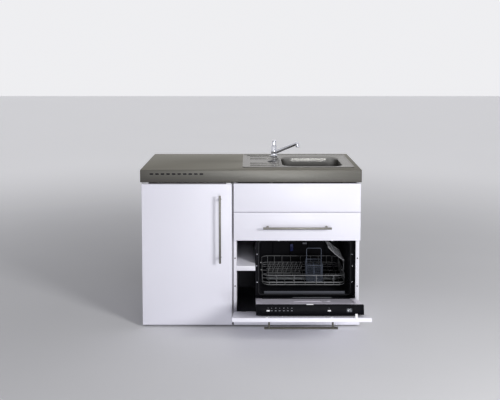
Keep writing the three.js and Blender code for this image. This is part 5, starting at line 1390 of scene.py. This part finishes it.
def ice_box():
    x, y, z = ranges("ice_box")
    pin_x, pin_y = x[0] + 6, pivot("ice_box_flap_hinge")[1]
    box_y = (pin_y + 7, y[1])
    wall = 3
    shell = slab("evaporator_box", x, box_y, z, 5, 4)
    cut(shell, slab("room", inset(x, wall), (box_y[0] - 2 * BEYOND, box_y[1] - wall), inset(z, wall), 4, 4))
    ears = []
    for low, pin in ((z[0], (z[0] + 1, z[0] + wall + 7)), (z[1] - wall, (z[1] - wall - 7, z[1] - 1))):
        ears.append(slab("ear", (x[0], pin_x + 6), (pin_y - 5, box_y[0] + 6), (low, low + wall), 0.6, 2))
        ears.append(dowel("pin", pin_x, pin_y, pin, 2, sides=20))
    channels = [rounded([(side, box_y[0] + 40, level), (side, box_y[1] - 20, level)], 1) for side in x
                for level in spread(inset(z, 28), 4)]
    place(join("evaporator_box", [smooth(shell), *ears, wires("channels", channels, 1.6, (), 3)]), ROOT,
          "zinc_steel", "ice_box")

    flap_x, flap_y, flap_z = ranges("ice_box_flap")
    board_y = about(pin_y, 5)
    board = slab("ice_flap", flap_x, board_y, flap_z, 2.4, 4)
    cut(board, slab("panel", inset(flap_x, 16), (board_y[0] - BEYOND, board_y[0] + 2.5), inset(flap_z, 14),
                    1.5, 3), *[dowel("pin_hole", pin_x, pin_y, (a, b), 2.3, sides=20) for a,
                    b in ((flap_z[0] - 1, flap_z[0] + 8), (flap_z[1] - 8, flap_z[1] + 1))])
    grip = slab("grip", (flap_x[1] - 58, flap_x[1] - 18), (flap_y[0], board_y[0] + 1),
                (flap_z[0] + 20, flap_z[0] + 28), 2, 3)
    place(join("ice_flap", [smooth(board), grip]), "ice_box_flap", "clear_plastic", "ice_box_flap")


def cooling_unit():
    """The compressor in its bay, and the condenser's tube winding down its plate."""
    x, y, z = ranges("compressor")
    centre = (middle(x), middle(y))
    radius = (x[1] - x[0]) / 2 - 14
    low, high = z[0] + 10, z[1]
    dome = turned("compressor_shell",
                  [(0, low), (radius * 0.8, low), (radius * 0.95, low + 8), (radius, low + 22),
                   (radius, low + 66), (radius + 2.5, low + 68), (radius + 2.5, low + 73), (radius, low + 75),
                   (radius, high - 40), (radius * 0.93, high - 20), (radius * 0.72, high - 6),
                   (radius * 0.4, high - 1), (0, high)], (*centre, 0), sides=64, rim=1.2)
    plate = slab("plate", x, y, (z[0] + 9, z[0] + 14), 2, 3)
    pads = [dowel("pad", px, py, (z[0], z[0] + 10), 9, 1, 24) for px in inset(x, 14) for py in inset(y, 14)]
    tubes = wires("tubes",
                  [rounded([(centre[0] - radius * 0.9, centre[1], low + 88),
                            (centre[0] - radius - 18, centre[1], low + 88),
                            (centre[0] - radius - 18, centre[1] + 20, low + 88),
                            (centre[0] - radius - 18, centre[1] + 20, FRIDGE["bay_top"])], 12, 6),
                            rounded([(centre[0] + radius * 0.9, centre[1], low + 60),
                                     (centre[0] + radius + 16, centre[1], low + 60),
                                     (centre[0] + radius + 16, centre[1], FRIDGE["bay_top"])], 10, 6)], 3,
                                     (), 4)
    place(join("compressor_shell", [dome, plate]), ROOT, "black_steel", "compressor")
    place(join("compressor_pads", pads), ROOT, "rubber")
    place(tubes, ROOT, "black_steel", look="zinc_steel")
    tubes.name = "refrigerant_tubes"

    x, y, z = ranges("condenser")
    plate_y = (y[0] + 8, y[0] + 9.5)
    plate = slab("condenser_coil", x, plate_y, z, 0.4, 2)
    stands = [slab("stand", (px, px + 20), (y[0], plate_y[0] + 0.5), (pz, pz + 20), 1, 2)
              for px in (x[0], x[1] - 20) for pz in (z[0], z[1] - 20)]
    tube = 3
    run_x, levels = inset(x, 30), spread((z[1] - 30, z[0] + 30), 9)
    route = []
    for k, level in enumerate(levels):
        ends = run_x if k % 2 == 0 else run_x[::-1]
        route += [(end, plate_y[1] + tube * 0.6, level) for end in ends]
    coil = wires("coil", [rounded(route, 30, 8)], tube, (), 3)
    place(join("condenser_coil", [plate, *stands, coil]), ROOT, "black_steel", "condenser")


def fridge_door():
    body = "fridge_door"
    x, y, z = ranges("fridge_door")
    board = slab("fridge_door_board", x, y, z, size("front_rim") * 1.4, 4)
    pin_x, pin_y = pivot("fridge_door_hinge")[:2]
    for a, b in ((z[0] - 1, z[0] + 14), (z[1] - 14, z[1] + 1)):
        cut(board, dowel("pin_hole", pin_x, pin_y, (a, b), 3.3, sides=24))
    place(smooth(board), body, "white_front", "fridge_door")
    place(bar_handle("fridge_bar", *ranges("fridge_handle")), body, "handle_steel", "fridge_handle")
    cap = slab("hinge_side_plug", (x[1] - 31, x[1] - 5), (y[0] + 8, y[1] - 10), (z[1] - 1, z[1] + 5), 2, 3)
    place(cap, body, "white_plastic")

    x, y, z = ranges("fridge_door_liner")
    liner = slab("door_inner", x, y, z, 6, 5)
    cut(liner, *[slab("hollow", inset(x, 34), (y[1] - 6, y[1] + BEYOND), span, 5, 4)
                 for span in ((z[0] + 24, z[0] + 128), (z[0] + 168, middle(z)), (middle(z) + 20, z[1] - 26))])
    place(smooth(liner), body, "white_plastic", "fridge_door_liner")

    x, y, z = ranges("fridge_door_seal")
    width = 18
    loops = [rectangle(inset(x, by), middle(y), inset(z, by), 8) for by in (3.4, width / 2, width - 3.4)]
    place(wires("magnetic_seal", [], (y[1] - y[0]) / 2, loops, 3), body, "rubber",
          "fridge_door_seal", look="pipe_plastic")

    for node in ("door_bin_lower", "door_bin_upper"):
        x, y, z = ranges(node)
        box = tray(node + "_tray", x, y, z, rims=(8, 6), steps=(5, 4), wall=TRAY_WALL, bottom=TRAY_WALL)
        cut(box, slab("dip", inset(x, 30), (y[1] - 2 * TRAY_WALL, y[1] + BEYOND),
                      (z[1] - 26, z[1] + 5 * BEYOND), 5, 4))
        lip = slab("lip", inset(x, 28), (y[1] - TRAY_WALL, y[1]), (z[1] - 30, z[1] - 26), 1.2, 2)
        place(join(node + "_tray", [smooth(box), lip]), body, "clear_plastic", node)


def fridge_hinge():
    """The bracket over the door, under its moulded cap."""
    x, y, _ = ranges("fridge_hinge_top")
    pin_x, pin_y = pivot("fridge_door_hinge")[:2]
    door_z = ranges("fridge_door")[2]
    fridge_x, fridge_y, fridge_z = ranges("fridge_cabinet")
    under = door_z[1] + 1
    side_front = ranges("left_side")[1][0]
    pieces = [slab("hinge_bracket", x, (y[0], side_front - 2), (under, under + 4), 1.2, 3),
              slab("arm", (fridge_x[0] + 1, x[1]), (side_front - 3, y[1]), (under, under + 4), 1.2, 3),
              slab("seat", (fridge_x[0] + 1, x[1]), (fridge_y[0] + 6, y[1]), (fridge_z[1], under + 1), 0.6,
                   2), dowel("pin", pin_x, pin_y, (door_z[1] - 12, under + 1), 3, 0.5),
                   slab("cap", (x[0] + 6, x[1] + 4), (y[0] + 2, y[0] + 22), (under + 1, under + 6.5), 2, 3)]
    place(join("hinge_bracket", pieces), ROOT, "white_plastic", "fridge_hinge_top")


# ---------------------------------------------------------------- studio

FLOOR_SIZE = 40
GLOW_FROM = (0.6, 6.0)  # where the floor's glow begins and where it is full, in metres from the middle
LENS = {"place": (-0.005, -3.854, 1.506), "down": 3.93, "focal": 50.4, "sensor": 36.0, "shift": -0.20}


LIGHTS = {  # place and aim in metres, width and height, watts, colour, and whether it shows in gloss
    "key": ((2.9, -3.3, 1.9), (0.0, 0.0, 0.5), (1.0, 1.0), 118, (1, 1, 1), False),
    "left_fill": ((-2.6, -2.6, 1.6), (0.0, 0.0, 0.4), (1.8, 1.8), 2, (1, 1, 1), True),
    "overhead": ((0.2, -0.4, 3.0), (0.1, 0.1, 0.8), (2.0, 1.2), 4.6, (1, 1, 1), True),
    "window": ((0.8, -5.4, 1.17), (0.35, 0.4, 0.85), (2.1, 0.36), 34, (1, 1, 1), True),
    "front_low": ((0.62, -4.3, 0.17), (0.3, 0.0, 0.85), (0.6, 0.3), 17, (0.92, 0.95, 1.0), True),
}


def area_light(name, place_at, aim, extent, watts, tone, in_gloss):
    deselect()
    direction = Vector(aim) - Vector(place_at)
    bpy.ops.object.light_add(type="AREA", location=place_at,
                             rotation=direction.to_track_quat("-Z", "Y").to_euler())
    lamp = bpy.context.active_object
    lamp.name = name
    lamp.data.shape = "RECTANGLE"
    lamp.data.size, lamp.data.size_y = extent
    lamp.data.energy = watts
    lamp.data.color = tone
    lamp.visible_glossy = in_gloss
    return lamp


def direct_view(nodes, links):
    """A number that is 1 for what the camera, gloss and glass see, and 0 for what lights the scene."""
    rays = nodes.new("ShaderNodeLightPath")
    seen = rays.outputs["Is Camera Ray"]
    for kind in ("Is Glossy Ray", "Is Transmission Ray"):
        either = nodes.new("ShaderNodeMath")
        either.operation = "MAXIMUM"
        links.new(seen, either.inputs[0])
        links.new(rays.outputs[kind], either.inputs[1])
        seen = either.outputs["Value"]
    return seen


def pale_floor():
    """A matt floor that takes the shadow and looks paler than the light on it alone would make it."""
    finish = Finish(
        "studio_floor", shade(226, 226, 228), 0.7,
        tint=(cloud(1.5, detail=2), shade(224, 224, 226), shade(230, 230, 232)))
    nodes, links = finish.nodes, finish.links
    glow = nodes.new("ShaderNodeEmission")
    glow.inputs["Color"].default_value = (0.36, 0.36, 0.37, 1)
    distance = nodes.new("ShaderNodeVectorMath")
    distance.operation = "LENGTH"
    links.new(finish.coordinates, distance.inputs[0])
    fade = nodes.new("ShaderNodeMapRange")
    fade.interpolation_type = "SMOOTHSTEP"
    fade.inputs["From Min"].default_value, fade.inputs["From Max"].default_value = GLOW_FROM
    links.new(distance.outputs["Value"], fade.inputs["Value"])
    strength = nodes.new("ShaderNodeMath")
    strength.operation = "MULTIPLY"
    links.new(direct_view(nodes, links), strength.inputs[0])
    links.new(fade.outputs["Result"], strength.inputs[1])
    links.new(strength.outputs["Value"], glow.inputs["Strength"])
    both = nodes.new("ShaderNodeAddShader")
    links.new(finish.shader.outputs["BSDF"], both.inputs[0])
    links.new(glow.outputs["Emission"], both.inputs[1])
    links.new(both.outputs["Shader"], nodes["Material Output"].inputs["Surface"])
    return finish.material


def surround():
    """A dim even light from all round, which the camera, gloss and glass see as a pale backdrop."""
    world = bpy.data.worlds.new("studio")
    bpy.context.scene.world = world
    world.use_nodes = True
    nodes, links = world.node_tree.nodes, world.node_tree.links
    light = nodes["Background"]
    light.inputs["Color"].default_value = (0.95, 0.95, 1.0, 1)
    light.inputs["Strength"].default_value = 0.25
    backdrop = nodes.new("ShaderNodeBackground")
    backdrop.inputs["Color"].default_value = (0.86, 0.86, 0.88, 1)
    mix = nodes.new("ShaderNodeMixShader")
    links.new(direct_view(nodes, links), mix.inputs["Fac"])
    links.new(light.outputs["Background"], mix.inputs[1])
    links.new(backdrop.outputs["Background"], mix.inputs[2])
    links.new(mix.outputs["Shader"], nodes["World Output"].inputs["Surface"])


def studio():
    """A pale floor, a pale surround, soft lights and the camera."""
    deselect()
    bpy.ops.mesh.primitive_plane_add(size=FLOOR_SIZE)
    floor = started("studio_floor")
    floor.data.materials.append(pale_floor())

    surround()
    lights = [area_light(name, *values) for name, values in LIGHTS.items()]
    bpy.ops.object.camera_add(location=LENS["place"], rotation=(radians(90 - LENS["down"]), 0, 0))
    camera = bpy.context.active_object
    camera.name = "studio_camera"
    camera.data.sensor_width = LENS["sensor"]
    camera.data.lens = LENS["focal"]
    camera.data.shift_y = LENS["shift"]
    bpy.context.scene.camera = camera
    bpy.context.scene.view_settings.view_transform = "Standard"


# ---------------------------------------------------------------- settings

class KITCHEN_PG_sizes(bpy.types.PropertyGroup):
    worktop_rim: FloatProperty(
        name="Worktop rim", description="Rounding of the folded edges of the worktop",
        default=2.2 * MM, unit="LENGTH")
    front_rim: FloatProperty(
        name="Front rim", description="Rounding of the edges of the fronts", default=2.0 * MM, unit="LENGTH")
    carcass_rim: FloatProperty(
        name="Carcass rim", description="Rounding of the folded carcass sheets",
        default=0.8 * MM, unit="LENGTH")
    rack_wire: FloatProperty(
        name="Rack wire", description="Radius of the heavy wire of the dish rack",
        default=2.3 * MM, unit="LENGTH")
    tine_wire: FloatProperty(
        name="Tine wire", description="Radius of the light wire of the dish rack",
        default=1.6 * MM, unit="LENGTH")


class KITCHEN_PG_colours(bpy.types.PropertyGroup):
    front: FloatVectorProperty(
        name="Fronts", description="Powder coat of the doors, the drawer and the flap", subtype="COLOR",
        default=shade(234, 233, 243))
    carcass: FloatVectorProperty(
        name="Carcass", description="Powder coat of the sides, the floor and the shelf", subtype="COLOR",
        default=shade(231, 230, 237))
    # The worktop's warm tint is painted reflection of a warm wall.
    worktop: FloatVectorProperty(
        name="Worktop", description="Brushed sheet of the worktop", subtype="COLOR",
        default=(0.114, 0.11, 0.099))
    sink: FloatVectorProperty(
        name="Sink", description="Pressed sheet of the sink", subtype="COLOR", default=(0.235, 0.232, 0.222))


# ---------------------------------------------------------------- operators

class KITCHEN_OT_worktop(bpy.types.Operator):
    """Fold the worktop sheet over its board"""

    bl_idname = "kitchen.worktop"
    bl_label = "Worktop"

    def execute(self, context):
        worktop_sheet()
        return {"FINISHED"}


class KITCHEN_OT_sink(bpy.types.Operator):
    """Press the sink and fit its strainer, plug and waste pipes"""

    bl_idname = "kitchen.sink"
    bl_label = "Sink"

    def execute(self, context):
        sink_pressing()
        waste_strainer()
        waste_pipes()
        return {"FINISHED"}


class KITCHEN_OT_tap(bpy.types.Operator):
    """Turn the tap's column, spout, cap and lever"""

    bl_idname = "kitchen.tap"
    bl_label = "Tap"

    def execute(self, context):
        tap()
        return {"FINISHED"}


class KITCHEN_OT_carcass(bpy.types.Operator):
    """Fold the carcass, its shelf and its feet"""

    bl_idname = "kitchen.carcass"
    bl_label = "Carcass"

    def execute(self, context):
        carcass()
        levelling_feet()
        return {"FINISHED"}


class KITCHEN_OT_fixed_fronts(bpy.types.Operator):
    """Seat the plinth and the blind panel"""

    bl_idname = "kitchen.fixed_fronts"
    bl_label = "Fixed fronts"

    def execute(self, context):
        fixed_fronts()
        return {"FINISHED"}


class KITCHEN_OT_drawer(bpy.types.Operator):
    """Build the drawer with its front, handle, tray and mat"""

    bl_idname = "kitchen.drawer"
    bl_label = "Drawer"

    def execute(self, context):
        drawer()
        return {"FINISHED"}


class KITCHEN_OT_flap(bpy.types.Operator):
    """Hang the open flap with its handle"""

    bl_idname = "kitchen.flap"
    bl_label = "Flap"

    def execute(self, context):
        flap()
        return {"FINISHED"}


class KITCHEN_OT_dishwasher(bpy.types.Operator):
    """Form the dishwasher's tub, gasket and spray arm"""

    bl_idname = "kitchen.dishwasher"
    bl_label = "Dishwasher"

    def execute(self, context):
        dishwasher_tub()
        spray_arm()
        return {"FINISHED"}


class KITCHEN_OT_dishwasher_door(bpy.types.Operator):
    """Hang the dishwasher's door with its control strip and dispenser"""

    bl_idname = "kitchen.dishwasher_door"
    bl_label = "Dishwasher door"

    def execute(self, context):
        dishwasher_door()
        return {"FINISHED"}


class KITCHEN_OT_dish_rack(bpy.types.Operator):
    """Bend the wires of the rack, the cutlery basket and the cup shelf"""

    bl_idname = "kitchen.dish_rack"
    bl_label = "Dish rack"

    def execute(self, context):
        dish_rack()
        cutlery_basket()
        cup_shelf()
        return {"FINISHED"}


class KITCHEN_OT_fridge(bpy.types.Operator):
    """Form the refrigerator's cabinet, its fittings and its cooling unit"""

    bl_idname = "kitchen.fridge"
    bl_label = "Refrigerator"

    def execute(self, context):
        fridge_cabinet()
        fridge_inside()
        ice_box()
        cooling_unit()
        return {"FINISHED"}


class KITCHEN_OT_fridge_door(bpy.types.Operator):
    """Hang the refrigerator's door with its liner, bins, seal and hinge"""

    bl_idname = "kitchen.fridge_door"
    bl_label = "Refrigerator door"

    def execute(self, context):
        fridge_door()
        fridge_hinge()
        return {"FINISHED"}


class KITCHEN_OT_studio(bpy.types.Operator):
    """Set the floor, the surround, the lights and the camera"""

    bl_idname = "kitchen.studio"
    bl_label = "Studio"

    def execute(self, context):
        studio()
        return {"FINISHED"}


OPERATORS = (
    KITCHEN_OT_worktop, KITCHEN_OT_sink, KITCHEN_OT_tap, KITCHEN_OT_carcass, KITCHEN_OT_fixed_fronts,
    KITCHEN_OT_drawer, KITCHEN_OT_flap, KITCHEN_OT_dishwasher,
    KITCHEN_OT_dishwasher_door, KITCHEN_OT_dish_rack,
    KITCHEN_OT_fridge, KITCHEN_OT_fridge_door, KITCHEN_OT_studio,
)


class KITCHEN_PT_panel(bpy.types.Panel):
    bl_idname = "KITCHEN_PT_panel"
    bl_label = "Mini kitchen"
    bl_space_type = "VIEW_3D"
    bl_region_type = "UI"
    bl_category = "Kitchen"

    def draw(self, context):
        for settings in (context.scene.kitchen_sizes, context.scene.kitchen_colours):
            for setting in settings.bl_rna.properties:
                if setting.identifier not in ("rna_type", "name"):
                    self.layout.prop(settings, setting.identifier)
        for operator in OPERATORS:
            self.layout.operator(operator.bl_idname)


CLASSES = (KITCHEN_PG_sizes, KITCHEN_PG_colours, *OPERATORS, KITCHEN_PT_panel)


def register():
    for cls in CLASSES:
        bpy.utils.register_class(cls)
    bpy.types.Scene.kitchen_sizes = PointerProperty(type=KITCHEN_PG_sizes)
    bpy.types.Scene.kitchen_colours = PointerProperty(type=KITCHEN_PG_colours)


def unregister():
    del bpy.types.Scene.kitchen_colours
    del bpy.types.Scene.kitchen_sizes
    for cls in reversed(CLASSES):
        bpy.utils.unregister_class(cls)


def main():
    register()
    for operator in OPERATORS:
        group, name = operator.bl_idname.split(".")
        getattr(getattr(bpy.ops, group), name)()
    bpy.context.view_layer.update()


if __name__ == "__main__":
    main()
